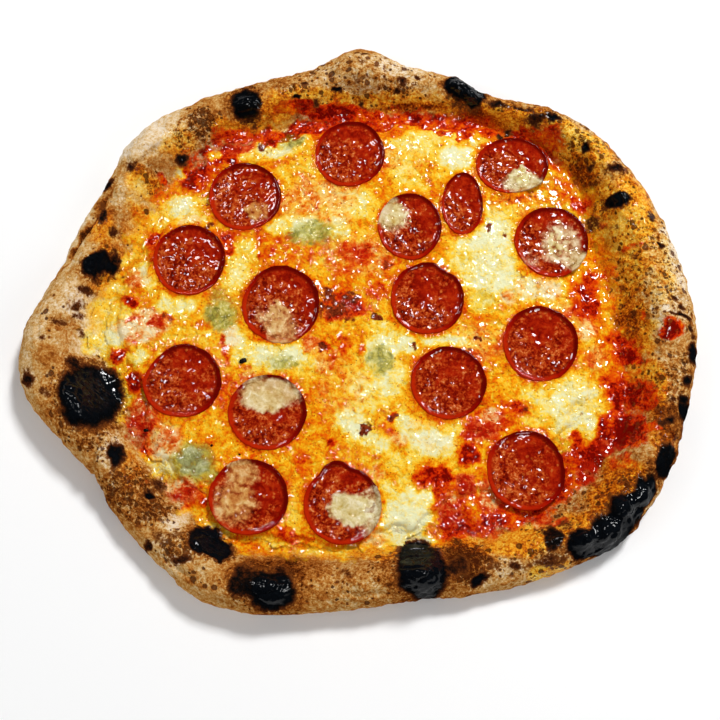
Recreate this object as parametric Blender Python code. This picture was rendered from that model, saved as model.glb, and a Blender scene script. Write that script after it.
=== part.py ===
"""Diavola pizza, hand-shaped and baked in a wood-fired oven.

The dough is one solid: a thin base inside a puffed, blistered rim. On it lie a layer of tomato
sauce, a sheet of melted mozzarella, sixteen slices of spicy salami, melted blue cheese and the
patches of mozzarella that ran over some of the slices.

Metres, +Z up. The origin is on the flat underside, under the middle of the pizza. Angles are
anticlockwise from +X, seen from above. The tables hold millimetres and degrees.
"""

from math import cos, hypot, pi, radians, sin

import bmesh
import bpy
from mathutils import Vector, noise

MM = 0.001

# The dough, every ten degrees: how far the rim reaches from the origin.
RIM_REACH = (
    171, 169, 168, 167, 166, 161, 151, 151, 151, 159, 148, 149,
    153, 157, 159, 154, 155, 159, 169, 170, 158, 149, 150, 150,
    152, 147, 140, 136, 134, 139, 145, 154, 164, 167, 168, 169,
)
# Every twenty degrees: the foot of the rim's inner slope, and the rim's height.
RIM_FOOT = (129, 128, 141, 134, 120, 118, 122, 126, 125, 130, 120, 120, 117, 108, 104, 113, 128, 136)
RIM_HEIGHT = (22, 24, 20, 15, 19, 20, 17, 22, 18, 24, 25, 18, 22, 21, 23, 18, 24, 21)
RIDGE_SHARE = 0.42  # of the rim's width, from its outer edge to its ridge
UNDERCUT_SHARE = 0.34  # of the rim's width, which curls up off the table
BELLY_SHARE = 0.42  # of the rim's height, where the rim reaches furthest out
BASE_TOP = 4.0

# Blisters that the oven raised on the rim: x, y, radius, height.
BLISTERS = (
    (-131, -34, 17, 9), (-132, 35, 10, 4), (-60, 120, 9, 4), (54, 133, 7, 4), (61, 126, 7, 4),
    (30, -119, 14, 7), (-42, -127, 16, 4), (-75, -104, 8, 5), (-68, -108, 8, 4),
    (119, -102, 10, 5), (106, -104, 8, 5), (135, -83, 9, 4), (125, -90, 9, 5), (141, -67, 9, 4),
    (133, 67, 7, 3), (133, 83, 6, 2), (163, -13, 6, 2), (52, -115, 9, 3),
    (-155, -10, 15, 3), (0, 143, 18, 3), (-112, 97, 17, 3), (154, 4, 11, 3),
)
SWELL = 1.2  # uneven swelling of the rim
SWELL_LENGTH = 26  # from one swelling to the next
SPOKES = 144

GAP = 0.3  # between pieces that touch
SAUCE_TOP = 5.5
SAUCE_CLIMB = 0.34  # share of the rim's inner slope that the sauce climbs
SAUCE_EDGE = 0.7

# The sheet of mozzarella, every fifteen degrees: how far it spread.
CHEESE_REACH = (
    120, 112, 118, 118, 121, 115, 112, 113, 108, 106, 117, 120,
    124, 112, 116, 112, 113, 107, 104, 101, 98, 108, 114, 120,
)
CHEESE_TOP = 7.4
CHEESE_SPOKES = 72

# Slices of salami: x, y, half width, half depth.
SALAMI = (
    (-5, 98, 18.6, 18.8), (-60, 74, 19.0, 19.3), (-88, 39, 18.7, 19.3), (-40, 15, 19.8, 20.4),
    (-89, -25, 20.0, 18.7), (-46, -41, 20.0, 18.9), (-54, -83, 19.5, 18.6), (-8, -87, 19.0, 19.2),
    (26.5, 57, 16.6, 18.4), (54.5, 70, 10.4, 17.6), (81, 91, 19.4, 15.8), (100, 49, 19.2, 19.2),
    (35, 18, 19.0, 19.3), (45, -26, 18.9, 18.6), (92, -6, 19.2, 20.0), (82, -70, 19.5, 19.8),
)
# What sets a slice's outline apart from an oval: slice, direction, half angle, how far out.
SALAMI_MARKS = (
    (5, 140, 40, -1.4), (8, 102, 24, 3.6), (11, 285, 35, -1.2), (13, 57, 15, -1.8), (10, 200, 50, 0.8),
)
SALAMI_THICKNESS = 1.6
SALAMI_LIP = 0.6  # the edge curls up by this much
SALAMI_SEGMENTS = 28
SALAMI_UNEVEN = 0.02  # of the radius

# Melted blue cheese: x, y, half width, half depth, turn.
BLUE_CHEESE = (
    (-25, 54, 13, 7.5, 5), (-71, 9, 8.5, 10, 20), (-82, -66, 11, 8.5, -10),
    (-38, -15, 8, 4.2, 0), (11, -14, 7, 10.5, 15), (-36, 106, 8, 4.5, 10),
)
# Mozzarella that ran over a slice: slice, then x, y, half width, half depth, turn.
CHEESE_FLOWS = (
    (2, -55, 67, 6, 5.5, 0), (4, -42, 8, 5.5, 10, 15), (6, -47, -35, 10, 8, 0), (7, -60, -84, 7.5, 9, -20),
    (8, -4, -90, 11, 9.5, -20), (9, 21, 62, 6.5, 8, 25), (11, 86, 86, 7, 6, 0), (12, 103, 49, 8.5, 10, 0),
)
PATCH_THICKNESS = 1.0
PATCH_SEGMENTS = 22
PATCH_UNEVEN = 0.12


def ring_value(values, angle):
    """A smooth closed curve through values spread evenly round the circle."""
    place = angle / (2 * pi) * len(values)
    first = int(place // 1)
    t = place - first
    a, b, c, d = (values[(first + step) % len(values)] for step in (-1, 0, 1, 2))
    bend = 2 * a - 5 * b + 4 * c - d
    return b + 0.5 * t * (c - a + t * (bend + t * (3 * (b - c) + d - a)))


def angles(count):
    return [2 * pi * index / count for index in range(count)]


def material(name, colour, roughness):
    made = bpy.data.materials.new(name)
    made.use_nodes = True
    made.diffuse_color = (*colour, 1)
    shader = made.node_tree.nodes["Principled BSDF"]
    shader.inputs["Base Color"].default_value = (*colour, 1)
    shader.inputs["Roughness"].default_value = roughness
    return made


def raised(bm, loop):
    """Extrudes a closed loop of vertices and gives the new loop in the same order."""
    edges = [bm.edges.get(pair) for pair in zip(loop, loop[1:] + loop[:1])]
    grown = bmesh.ops.extrude_edge_only(bm, edges=edges)["geom"]
    fresh = {item for item in grown if isinstance(item, bmesh.types.BMVert)}
    return [
        next(edge.other_vert(vert) for edge in vert.link_edges if edge.other_vert(vert) in fresh)
        for vert in loop
    ]


def stacked(name, rings, finish):
    """A solid made of rings of points in millimetres, from the bottom one to the top one."""
    bm = bmesh.new()
    loop = bmesh.ops.create_circle(bm, cap_ends=True, segments=len(rings[0]), radius=1)["verts"]
    for index, ring in enumerate(rings):
        if index:
            loop = raised(bm, loop)
        for vert, point in zip(loop, ring):
            vert.co = point * MM
    bm.faces.new(loop)
    bmesh.ops.recalc_face_normals(bm, faces=bm.faces)
    mesh = bpy.data.meshes.new(name)
    bm.to_mesh(mesh)
    bm.free()
    mesh.shade_smooth()
    mesh.set_sharp_from_angle(angle=radians(40))
    mesh.materials.append(finish)
    thing = bpy.data.objects.new(name, mesh)
    bpy.context.collection.objects.link(thing)
    return thing


def blister_rise(x, y):
    """How far the blisters raise the rim there."""
    rise = 0.0
    for bx, by, radius, height in BLISTERS:
        near = 1 - (hypot(x - bx, y - by) / radius) ** 2
        if near > 0:
            rise = max(rise, height * near**1.5)
    return rise


def rim_sizes(angle):
    """The rim's reach, ridge and foot as distances from the origin, and its height."""
    reach = ring_value(RIM_REACH, angle)
    foot = ring_value(RIM_FOOT, angle)
    ridge = reach - RIDGE_SHARE * (reach - foot)
    return reach, ridge, foot, ring_value(RIM_HEIGHT, angle)


def rim_point(angle, radius, z, share):
    """A point of the rim, with its share of the blisters and of the uneven swelling."""
    x = radius * cos(angle)
    y = radius * sin(angle)
    swell = SWELL * noise.noise(Vector((x, y, 0)) / SWELL_LENGTH)
    return Vector((x, y, z + share * (blister_rise(x, y) + swell)))


def under_edge(angle, turn):
    """The curled edge from the table up to the belly, as turn goes from 0 to 1."""
    reach, _, foot, height = rim_sizes(angle)
    curl = UNDERCUT_SHARE * (reach - foot)
    belly = BELLY_SHARE * height
    lift = radians(90 * turn)
    return rim_point(angle, reach - curl + curl * sin(lift), belly - belly * cos(lift), 0)


def outer_side(angle, turn):
    """From the belly over to the ridge, as turn goes from 0 to 1."""
    reach, ridge, _, height = rim_sizes(angle)
    belly = BELLY_SHARE * height
    lift = radians(90 * turn)
    radius = ridge + (reach - ridge) * cos(lift)
    return rim_point(angle, radius, belly + (height - belly) * sin(lift), sin(lift))


def inner_slope(angle, turn):
    """From the ridge down to the foot, as turn goes from 0 to 1."""
    _, ridge, foot, height = rim_sizes(angle)
    fall = 0.5 + 0.5 * cos(pi * turn)
    return rim_point(angle, ridge - turn * (ridge - foot), BASE_TOP + (height - BASE_TOP) * fall, fall)


def crust():
    spokes = angles(SPOKES)
    rings = [[under_edge(a, step / 4) for a in spokes] for step in range(5)]
    rings += [[outer_side(a, step / 5) for a in spokes] for step in range(1, 6)]
    rings += [[inner_slope(a, step / 7) for a in spokes] for step in range(1, 8)]
    return stacked("crust", rings, material("dough", (0.62, 0.36, 0.15), 0.75))


def tomato_sauce():
    """A thin layer on the base, which climbs the foot of the rim."""
    spokes = angles(SPOKES)
    start = 1 - SAUCE_CLIMB
    depth = SAUCE_TOP - BASE_TOP
    clear = Vector((0, 0, GAP))
    edge = Vector((0, 0, GAP + SAUCE_EDGE))
    top = Vector((0, 0, depth))
    rings = [
        [inner_slope(a, 1) + clear for a in spokes],
        [inner_slope(a, start + SAUCE_CLIMB / 2) + clear * 2 for a in spokes],
        [inner_slope(a, start) + clear * 2 for a in spokes],
        [inner_slope(a, start) + edge for a in spokes],
        [inner_slope(a, start + SAUCE_CLIMB / 4) + top for a in spokes],
        [inner_slope(a, start + SAUCE_CLIMB / 2) + top for a in spokes],
        [inner_slope(a, 1) + top for a in spokes],
    ]
    return stacked("tomato_sauce", rings, material("tomato_sauce", (0.55, 0.05, 0.01), 0.35))


def mozzarella():
    """The melted sheet that the slices lie on, thinner towards its uneven edge."""
    bottom = SAUCE_TOP + GAP
    levels = ((0.985, bottom), (1.0, bottom + 0.5), (0.97, CHEESE_TOP - 0.3), (0.92, CHEESE_TOP))
    rings = []
    for share, z in levels:
        ring = []
        for a in angles(CHEESE_SPOKES):
            radius = share * ring_value(CHEESE_REACH, a)
            ring.append(Vector((radius * cos(a), radius * sin(a), z)))
        rings.append(ring)
    return stacked("mozzarella", rings, material("mozzarella", (0.85, 0.62, 0.24), 0.35))


def blob(centre, halves, turn, count, uneven, seed, marks=()):
    """A function that gives the point of an uneven oval at a share of its radius and a height."""
    tilt = radians(turn)

    def point(angle, share, z):
        lean = angle - tilt
        wave = uneven * noise.noise(Vector((1.3 * cos(angle), 1.3 * sin(angle), 3.7 * seed)))
        stretch = share * (1 + 2 * wave)
        along = halves[0] * cos(lean) * stretch
        across = halves[1] * sin(lean) * stretch
        x = centre[0] + along * cos(tilt) - across * sin(tilt)
        y = centre[1] + along * sin(tilt) + across * cos(tilt)
        for direction, half_angle, out in marks:
            off = abs((angle - radians(direction) + pi) % (2 * pi) - pi) / radians(half_angle)
            push = share * out * max(0.0, 1 - off * off)
            x += push * cos(angle)
            y += push * sin(angle)
        return Vector((x, y, z))

    return lambda share, z: [point(a, share, z) for a in angles(count)]


def salami_slice(number, x, y, half_width, half_depth, finish):
    marks = [row[1:] for row in SALAMI_MARKS if row[0] == number]
    ring = blob((x, y), (half_width, half_depth), 0, SALAMI_SEGMENTS, SALAMI_UNEVEN, number, marks)
    seat = CHEESE_TOP + GAP
    top = seat + SALAMI_THICKNESS
    rings = [ring(0.99, seat), ring(1.0, top + SALAMI_LIP), ring(0.87, top)]
    return stacked(f"salami_{number:02d}", rings, finish)


def patch(name, seat, place, seed, finish):
    """A low mound of melted cheese with a rounded edge."""
    x, y, half_width, half_depth, turn = place
    ring = blob((x, y), (half_width, half_depth), turn, PATCH_SEGMENTS, PATCH_UNEVEN, seed)
    top = seat + PATCH_THICKNESS
    rings = [ring(0.96, seat), ring(1.0, seat + 0.3), ring(0.82, top - 0.15), ring(0.45, top)]
    return stacked(name, rings, finish)


def build():
    for thing in list(bpy.data.objects):
        bpy.data.objects.remove(thing, do_unlink=True)
    crust()
    tomato_sauce()
    mozzarella()
    salami = material("salami", (0.33, 0.02, 0.01), 0.35)
    for number, place in enumerate(SALAMI, start=1):
        salami_slice(number, *place, salami)
    blue = material("blue_cheese", (0.36, 0.42, 0.22), 0.35)
    for number, place in enumerate(BLUE_CHEESE, start=1):
        patch(f"blue_cheese_{number}", CHEESE_TOP + GAP, place, 20 + number, blue)
    flow = material("cheese_flow", (0.75, 0.52, 0.22), 0.35)
    over_salami = CHEESE_TOP + SALAMI_THICKNESS + 2 * GAP
    for number, *place in CHEESE_FLOWS:
        patch(f"cheese_flow_{number:02d}", over_salami, place, 40 + number, flow)


build()
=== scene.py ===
"""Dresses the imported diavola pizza: baked dough, tomato sauce, melted cheese and oily salami.

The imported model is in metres. The tables and the forms here are in millimetres and degrees, seen
from above with +X to the right and +Y away from the viewer.
"""

from math import cos, pi, radians, sin

import bmesh
import bpy
import numpy as np
from mathutils import Matrix, Vector, noise


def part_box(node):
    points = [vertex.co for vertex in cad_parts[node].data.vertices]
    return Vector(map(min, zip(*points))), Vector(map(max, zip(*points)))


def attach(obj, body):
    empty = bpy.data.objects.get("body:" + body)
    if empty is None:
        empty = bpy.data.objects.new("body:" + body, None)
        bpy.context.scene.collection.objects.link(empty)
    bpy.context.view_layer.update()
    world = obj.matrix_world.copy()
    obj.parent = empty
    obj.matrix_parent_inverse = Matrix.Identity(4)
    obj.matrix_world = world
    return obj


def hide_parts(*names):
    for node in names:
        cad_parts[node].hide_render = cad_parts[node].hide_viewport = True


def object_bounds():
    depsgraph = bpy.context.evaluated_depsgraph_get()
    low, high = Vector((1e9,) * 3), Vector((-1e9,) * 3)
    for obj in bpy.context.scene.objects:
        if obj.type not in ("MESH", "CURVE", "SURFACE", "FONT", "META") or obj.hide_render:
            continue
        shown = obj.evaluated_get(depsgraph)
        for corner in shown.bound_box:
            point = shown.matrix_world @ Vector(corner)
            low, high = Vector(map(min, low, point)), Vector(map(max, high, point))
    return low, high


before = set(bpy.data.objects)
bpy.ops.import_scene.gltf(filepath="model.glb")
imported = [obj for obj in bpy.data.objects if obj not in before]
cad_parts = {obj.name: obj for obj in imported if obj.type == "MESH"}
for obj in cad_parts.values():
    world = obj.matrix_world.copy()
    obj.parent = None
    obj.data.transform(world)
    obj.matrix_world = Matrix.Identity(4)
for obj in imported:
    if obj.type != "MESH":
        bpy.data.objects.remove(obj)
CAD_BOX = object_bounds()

MM = 0.001

# ---------------------------------------------------------------- the dough's form, as in the solids

RIM_REACH = (
    171, 169, 168, 167, 166, 161, 151, 151, 151, 159, 148, 149,
    153, 157, 159, 154, 155, 159, 169, 170, 158, 149, 150, 150,
    152, 147, 140, 136, 134, 139, 145, 154, 164, 167, 168, 169,
)
RIM_FOOT = (129, 128, 141, 134, 120, 118, 122, 126, 125, 130, 120, 120, 117, 108, 104, 113, 128, 136)
RIM_HEIGHT = (22, 24, 20, 15, 19, 20, 17, 22, 18, 24, 25, 18, 22, 21, 23, 18, 24, 21)
RIDGE_SHARE = 0.42
UNDERCUT_SHARE = 0.34
BELLY_SHARE = 0.42
BASE_TOP = 4.0
BLISTERS = (
    (-131, -34, 17, 9), (-132, 35, 10, 4), (-60, 120, 9, 4), (54, 133, 7, 4), (61, 126, 7, 4),
    (30, -119, 14, 7), (-42, -127, 16, 4), (-75, -104, 8, 5), (-68, -108, 8, 4),
    (119, -102, 10, 5), (106, -104, 8, 5), (135, -83, 9, 4), (125, -90, 9, 5), (141, -67, 9, 4),
    (133, 67, 7, 3), (133, 83, 6, 2), (163, -13, 6, 2), (52, -115, 9, 3),
    (-155, -10, 15, 3), (0, 143, 18, 3), (-112, 97, 17, 3), (154, 4, 11, 3),
)
SWELL = 1.2
SWELL_LENGTH = 26
CHEESE_REACH = (
    120, 112, 118, 118, 121, 115, 112, 113, 108, 106, 117, 120,
    124, 112, 116, 112, 113, 107, 104, 101, 98, 108, 114, 120,
)

# ---------------------------------------------------------------- what the oven did to the dough
# Every row of a table is an oval: x, y, half width, half depth, value, and its turn if it has one.

# How browned the dough is: 0 is floury, 0.5 golden, 1 dark brown. Some rows are painted shade instead: dark
# bands at the foot of the shaded inner walls, and a dark line along the fold at the left with a painted lit
# edge beside it.
DOUGH_TONES = (
    (-150, 0, 20, 36, 0.37), (-160, -12, 8, 26, 0.32, -5), (-138, 6, 8, 12, 0.2), (-125, 50, 15, 24, 0.50),
    (-118, 76, 8, 8, 0.25), (-107, 104, 22, 9, 0.12, 40), (-122, 99, 16, 5, 0.04, 48),
    (-148, 46, 8, 24, 0.34, 25), (-60, 127, 30, 8, 0.52, 18), (0, 129, 64, 6, 0.42), (4, 144, 34, 10, 0.38),
    (22, 144, 15, 6, 0.18, -12), (85, 121, 30, 7, 0.54, -20), (112, 104, 14, 11, 0.3, -35),
    (132, 80, 16, 15, 0.38, -40), (142, 45, 18, 24, 0.36), (160, 32, 6, 24, 0.05, 5),
    (150, 10, 14, 16, 0.24), (138, 12, 8, 18, 0.44), (155, -28, 10, 18, 0.42), (151, -55, 9, 11, 0.52),
    (146, -88, 6, 16, 0.30, -30), (100, -112, 24, 7, 0.46, 20), (60, -118, 28, 9, 0.44, 8),
    (0, -122, 36, 15, 0.48), (-35, -120, 24, 13, 0.54), (-66, -120, 18, 10, 0.38, -20),
    (-88, -112, 18, 10, 0.35, -35), (-112, -80, 16, 16, 0.58), (-100, -92, 13, 10, 0.54),
    (-126, -55, 14, 9, 0.48, -35), (-120, -62, 5, 9, 0.20), (-89, -95, 6, 4, 0.12), (-123, 26, 6, 12, 0.38),
    (-142, 20, 7, 5, 0.28, 30), (-135, 24, 5, 4, 0.5), (-147, 2, 6, 5, 0.52), (-138, -6, 5, 7, 0.18),
    (-153, -16, 6, 6, 0.55), (-129, 12, 5, 6, 0.3), (-132, 62, 6, 8, 0.6, 20), (-124, 70, 5, 6, 0.3),
    # painted shade: (136, 3), (-15, 123.5), (30, 125), (124, 42), (66, 118) and (117, 84) darken the foot
    # of the top and right inner walls, where the rim shades them
    (136, 3, 7, 13, 0.74), (-15, 123.5, 28, 2.2, 0.8), (30, 125, 14, 2, 0.8), (124, 42, 5, 14, 0.72, 15),
    (66, 118, 12, 4, 0.85, -20), (122, -80, 14, 8, 0.6, 40), (-42, -119, 20, 8, 0.76, 8),
    (117, 84, 6, 12, 0.74, 25), (150, -47, 8, 8, 0.85), (90, -119, 11, 6, 0.28, 10),
    (60, -120, 14, 6, 0.36, 5), (50, -113, 11, 8, 0.82, -10), (-121, 32, 6, 8, 0.5),
    # painted shade along the fold at the left (-139.5, 53), and a painted light on the flap's edge beside
    # it (-144, 56)
    (-144, 56, 20, 2.6, 0.12, 61), (-139.5, 53, 22, 1.4, 0.95, 61),
)
# Oil from the topping that soaked into the dough.
DOUGH_OIL = (
    (-45, 122, 10, 9, 0.7), (0, 127, 64, 5, 0.7), (88, 113, 30, 9, 1, -20), (113, 92, 12, 22, 1, 20),
    (124, 60, 12, 22, 1, 10), (132, 30, 12, 24, 0.9), (137, 0, 11, 20, 0.8), (142, -28, 9, 16, 0.9, 10),
    (146, -55, 8, 12, 0.6), (80, -104, 22, 7, 0.9, 12), (0, -108, 40, 5, 0.7), (-50, -104, 20, 6, 0.7, -10),
    (-112, 50, 8, 24, 0.7, 10), (-112, 78, 10, 8, 0.7), (-94, 100, 12, 6, 0.6, 35),
    (-112, -68, 6, 12, 0.5, 10), (-122, 14, 7, 24, 0.9), (140, 62, 12, 22, 0.8, 10), (150, 30, 10, 24, 0.5),
    (118, 98, 16, 10, 0.9, -35), (60, 122, 20, 5, 0.9, -10), (-60, 112, 20, 6, 0.8, 8),
    (128, -72, 10, 8, 0.8, -35), (40, -104, 30, 5, 0.7), (100, -98, 14, 6, 0.8, 25),
    (122, -80, 15, 7, 0.9, 40), (91, -119, 10, 6, 0.9, 10), (-121, 31, 8, 10, 1), (-128, 30, 10, 16, 0.8),
    (-130, 8, 10, 12, 0.7), (-131, 52, 8, 12, 0.6, 20),
)
# Soot-black skin of the blisters; the brown halo reaches half as far again.
CHAR = (
    (-132, -34, 11.8, 15.5, 1), (-133, 34.5, 7.6, 4.4, 1, 48), (-60, 124, 6.6, 8, 0.8, 10),
    (53, 134, 6.4, 5.4, 1), (61.5, 129.5, 5.4, 5.4, 1), (29.5, -118, 10.4, 12.6, 1, 24),
    (-40, -127, 10, 8.6, 0.95, 10), (-53, -124, 8, 6.4, 0.62, 20), (-74, -103, 7, 6, 1, -30),
    (-68, -108, 7, 4, 1, -20), (119, -101, 12, 8, 1, 40), (107, -106, 9, 6, 1, 20),
    (136, -82, 5, 9, 1, -35), (127, -91, 8, 8, 1, -35), (147, -67, 5, 8, 0.85, -10), (133, 67, 5.5, 3.6, 1),
    (132, 83, 5, 2.2, 0.67, 5), (166, -13, 3.2, 5, 1), (46, -116, 5, 4.5, 0.52),
    (57, -122, 4.2, 2.6, 1, 20), (-93, 94, 3.2, 1.8, 0.67, 30), (-118, 86, 2.6, 2.2, 0.52, 20),
    (-132, 78, 4.6, 2.2, 0.67, 25), (-133, 60, 2.2, 4.6, 0.63, -10), (-126, 41, 1.8, 3, 0.63, -10),
    (-122, 31, 2.2, 1.0, 0.33), (-138.5, 20, 2.4, 2.4, 0.48), (-142, 12, 2.6, 2.2, 0.45),
    (-149, 3, 2.4, 2, 0.45), (-139, -1, 2, 2.2, 0.42), (-162, -27, 2.4, 4, 0.66, 15),
    (-141, 7, 1.8, 1.8, 0.45), (-126, 52, 1.8, 3, 0.5, -10), (-136, 26, 1.6, 1.6, 0.4),
    (-155, -8, 2, 2, 0.4), (-153, -34, 1.8, 2, 0.45), (-141, -18, 3.4, 3.2, 0.62),
    (-117, -64, 2.6, 5.4, 0.95, 8), (-102, -82, 2.2, 2, 1), (-98, -76, 3, 4.4, 0.52, 20),
    (-100, -107, 2, 2.6, 0.63), (-94, -103, 3, 4, 0.33, 30), (-84, -113, 5, 2.4, 0.55, 10),
    (-88, -101, 4, 2, 0.36), (1, 145, 2, 1.8, 0.36), (9, 143, 1.5, 3, 0.31), (-2, 136, 2, 1.5, 0.33),
    (3, 137, 2.6, 1.4, 0.31), (14, 136, 1.8, 1.4, 0.36), (23, 136, 2, 2.4, 0.59), (31, 137, 1.6, 1.2, 0.63),
    (18, 145, 1.6, 1.2, 0.28), (-15, 137, 1.6, 1, 0.52), (-12, 131, 2, 1.2, 1),
    (-29, 133, 2.4, 1.2, 0.59, 10), (-33, 127, 1.2, 1, 1), (21, 131, 2, 1.1, 0.67),
    (1, 127, 1.8, 1.2, 0.52), (-23, 126, 1.4, 1.1, 0.52), (4, 151, 3, 1.1, 0.52),
    (15, 149, 2, 1.1, 0.31, -20), (74, 125, 5, 1.8, 0.63, -20), (86, 122.5, 5, 1.2, 0.63, -15),
    (103, 115, 4.4, 2, 0.95, -20), (94, 116, 4.6, 2.6, 0.55, -10), (76, 109, 2.4, 3, 0.59),
    (81, 112, 2, 2.4, 0.52, -20), (119, 98, 1.6, 2.4, 0.95), (121, 88, 2, 1.8, 0.55),
    (122, 59, 5, 3.4, 0.35, 20), (131, 54, 2, 1.5, 0.33), (149, 58, 2.2, 2.4, 0.67),
    (144, 62, 1.5, 1.4, 0.33), (152, 41, 1.5, 2, 0.67), (137, 38, 1.4, 2, 0.33),
    (157, 14, 2.2, 1.6, 0.55, -15), (161, 9, 2, 1.4, 0.59, -15), (161, 5, 6, 1.1, 0.7, -15),
    (165, 0, 1.6, 1.6, 0.63), (167, -4, 1.8, 2, 0.52), (162, -27, 3, 2.6, 0.8), (153, -37, 3, 1.4, 0.59),
    (160, -42, 3.5, 4.6, 0.9), (160, -36, 3.5, 2, 0.85), (151, -46, 3.4, 1.8, 0.67, 20),
    (147, -48, 2.4, 2, 0.59), (158, -52, 3, 3, 0.31), (74, -116, 4, 2.6, 0.52), (63, -115, 3, 2.6, 0.33),
    (90, -113, 7, 3, 0.45, 10), (-6, -119, 3, 1.8, 0.33), (92, -103, 4, 6, 0.66), (98, -97, 3, 3, 0.33),
    (-166, 2, 3, 8, 0.22),
)
# Leopard spots: how thickly small brown spots cover the dough.
LEOPARD = (
    (-84, 112, 9, 9, 0.85, -30), (-92, 102, 7, 6, 0.6), (-109, 84, 7, 5, 0.5), (-108, 77, 5, 4, 0.6),
    (-36, 130, 10, 5, 0.6), (-30, 124, 5, 5, 0.5), (20, 133, 14, 3, 0.6), (0, 128, 60, 5, 0.35),
    (0, 140, 34, 9, 0.22), (80, 123, 14, 4, 0.55, -15), (95, 116, 7, 5, 0.7, -10),
    (115, 103, 9, 7, 0.6, -30), (126, 66, 6, 6, 0.6), (121, 59, 7, 6, 0.6), (132, 88, 18, 12, 0.35, -40),
    (145, 45, 12, 24, 0.35), (151, 25, 8, 10, 0.5), (160, 10, 8, 14, 0.5), (158, -22, 8, 12, 0.6),
    (155, -35, 8, 8, 0.6), (155, -56, 8, 9, 0.65), (152, -66, 8, 8, 0.6), (140, -72, 6, 7, 0.6),
    (130, -78, 6, 5, 0.7), (92, -110, 12, 7, 0.7, 10), (50, -115, 13, 11, 0.95), (70, -117, 14, 6, 0.45),
    (10, -118, 8, 9, 0.5), (-30, -119, 7, 8, 0.5), (-86, -107, 9, 8, 0.8), (-112, -80, 15, 13, 0.75),
    (-100, -90, 11, 8, 0.8), (-127, -55, 12, 8, 0.7, -35), (-131, -48, 14, 4, 0.8), (-150, 10, 10, 18, 0.2),
    (-72, -122, 10, 5, 0.3, -20), (0, -125, 50, 10, 0.3), (-125, 55, 16, 28, 0.2), (148, 30, 20, 40, 0.5),
    (120, 95, 40, 20, 0.5, -40), (110, -100, 50, 22, 0.45, 30), (0, 140, 50, 12, 0.4),
    (152, -40, 14, 30, 0.55),
)
# Tomato that smeared over the dough, and painted shade: the rows along the top inner wall, (-64, 109) below
# the overhang at the upper left, and (134, -4), (137, -12) and (139, -33) on the right inner wall paint
# shaded wall dark red. A value above 1 paints it darker still: painted shade on those walls, deeper tomato
# elsewhere.
DOUGH_RED = (
    (-20, 116, 14, 5, 1, 5), (2, 117, 16, 6, 0.95), (26, 118, 14, 5, 1), (42, 113, 12, 4, 0.6, -5),
    (55, 115, 8, 7, 0.75), (-35, 111, 14, 3, 0.8, 5), (-64, 109, 14, 4, 1, 5), (-76, 106, 4, 4, 0.8),
    (-104, 84, 2.2, 3, 0.9, -30), (-91, 91, 4, 4, 0.8, 30), (69, 112, 4, 4, 0.5), (86, 108, 10, 6, 1, -10),
    (117, 71, 5, 4.4, 0.95), (128, 58, 2, 3, 0.5), (137, 58, 1.4, 4, 0.35), (137, 42, 4, 2, 0.7),
    (143, 42, 2, 1.4, 0.7), (119, 31, 3, 3, 0.8), (121, 26, 3, 3, 0.7), (154.5, -1, 5.4, 4.4, 1.7, -10),
    (154, -6, 3, 1.6, 0.9), (-15, 123, 26, 3.4, 1.3), (143, 8, 2, 1.5, 0.8, 30),
    (137, -12, 8, 4.4, 1.3, -38), (139, -33, 7, 9, 1.3, 10), (130, -3, 4, 3, 0.7), (143, -49, 4, 3, 1),
    (133, -50, 8, 9, 1.5), (38, -111, 2, 3, 0.9, 20), (96, -95, 4, 2.2, 0.9, 10),
    (-127, -19, 3.2, 2, 0.9, 10), (-103, -77, 3, 2, 0.5), (152, 21, 4, 3, 0.35), (152, -32, 5, 5, 0.35),
    (128, -66, 6, 5, 0.6), (-112, -48, 4, 8, 0.6), (134, -4, 7, 3.4, 1, -40), (99, 106, 11, 6, 1, -30),
)

# Folds and creases of the dough: the value is how far they stand up, or below 0 how deep they are.
FOLDS = (
    (-139.5, 53, 22, 1.6, -1.8, 61), (-144, 56, 20, 3.0, 1, 61), (-158, -3, 5, 1.0, -1.1, 95),
    (-160, -7, 3.4, 1.0, -1, 25), (-62, -133, 5, 1.2, -1, -15), (-128, -66, 13, 1.5, -1.3, 76),
    (-124, -66, 12, 2.6, 0.6, 76), (-45, 122, 10, 6, 1.2), (-33, 121, 1.6, 7, -1.4, 10),
    (-139, 4, 1.4, 12, -0.8, 8), (150, 22, 8, 1.2, -0.9, -40), (140, 55, 9, 1.4, -0.8, -55),
    (120, 96, 8, 1.2, -0.8, -50), (88, 121, 9, 1.2, -0.8, -18), (20, 139, 12, 1.4, -0.9, -10),
    (-20, 137, 10, 1.2, -0.8, 12), (62, -114, 9, 1.2, -0.8, 10), (0, -129, 14, 1.4, -0.8),
    (-85, -118, 9, 1.2, -0.9, -35), (51, 135.5, 4.4, 4.4, 1.5), (59, 130, 4.6, 4.6, 1.8),
    (157, -45, 1.4, 9, -0.8, -8), (146, -57, 8, 1.2, -0.8, 70), (-108, 92, 10, 1.3, -0.9, 45),
)

# Glossy, crumpled skin on the biggest blisters.
SHEEN = (
    (-135, -32, 10, 12, 0.6), (-60, 122, 8, 9, 0.3), (58, 130, 11, 9, 0.9), (30, -119, 12, 14, 0.5, 24),
    (114, -102, 15, 9, 0.6, 35), (132, -86, 8, 12, 0.6, -40), (-72, -105, 10, 7, 0.4, -30),
    (133, 67, 5, 4, 0.5), (-42, -127, 10, 8, 0.55, 10),
)

# ---------------------------------------------------------------- what is on top of the dough

# The tone of the topping's margin, every 20 degrees.
MARGIN_TONES = (
    0.62, 0.58, 0.6, 0.78, 0.95, 1.0, 0.9, 0.8, 0.45, 0.25, 0.42, 0.5, 0.46, 0.5, 0.45, 0.72, 0.97, 0.95,
)

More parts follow.
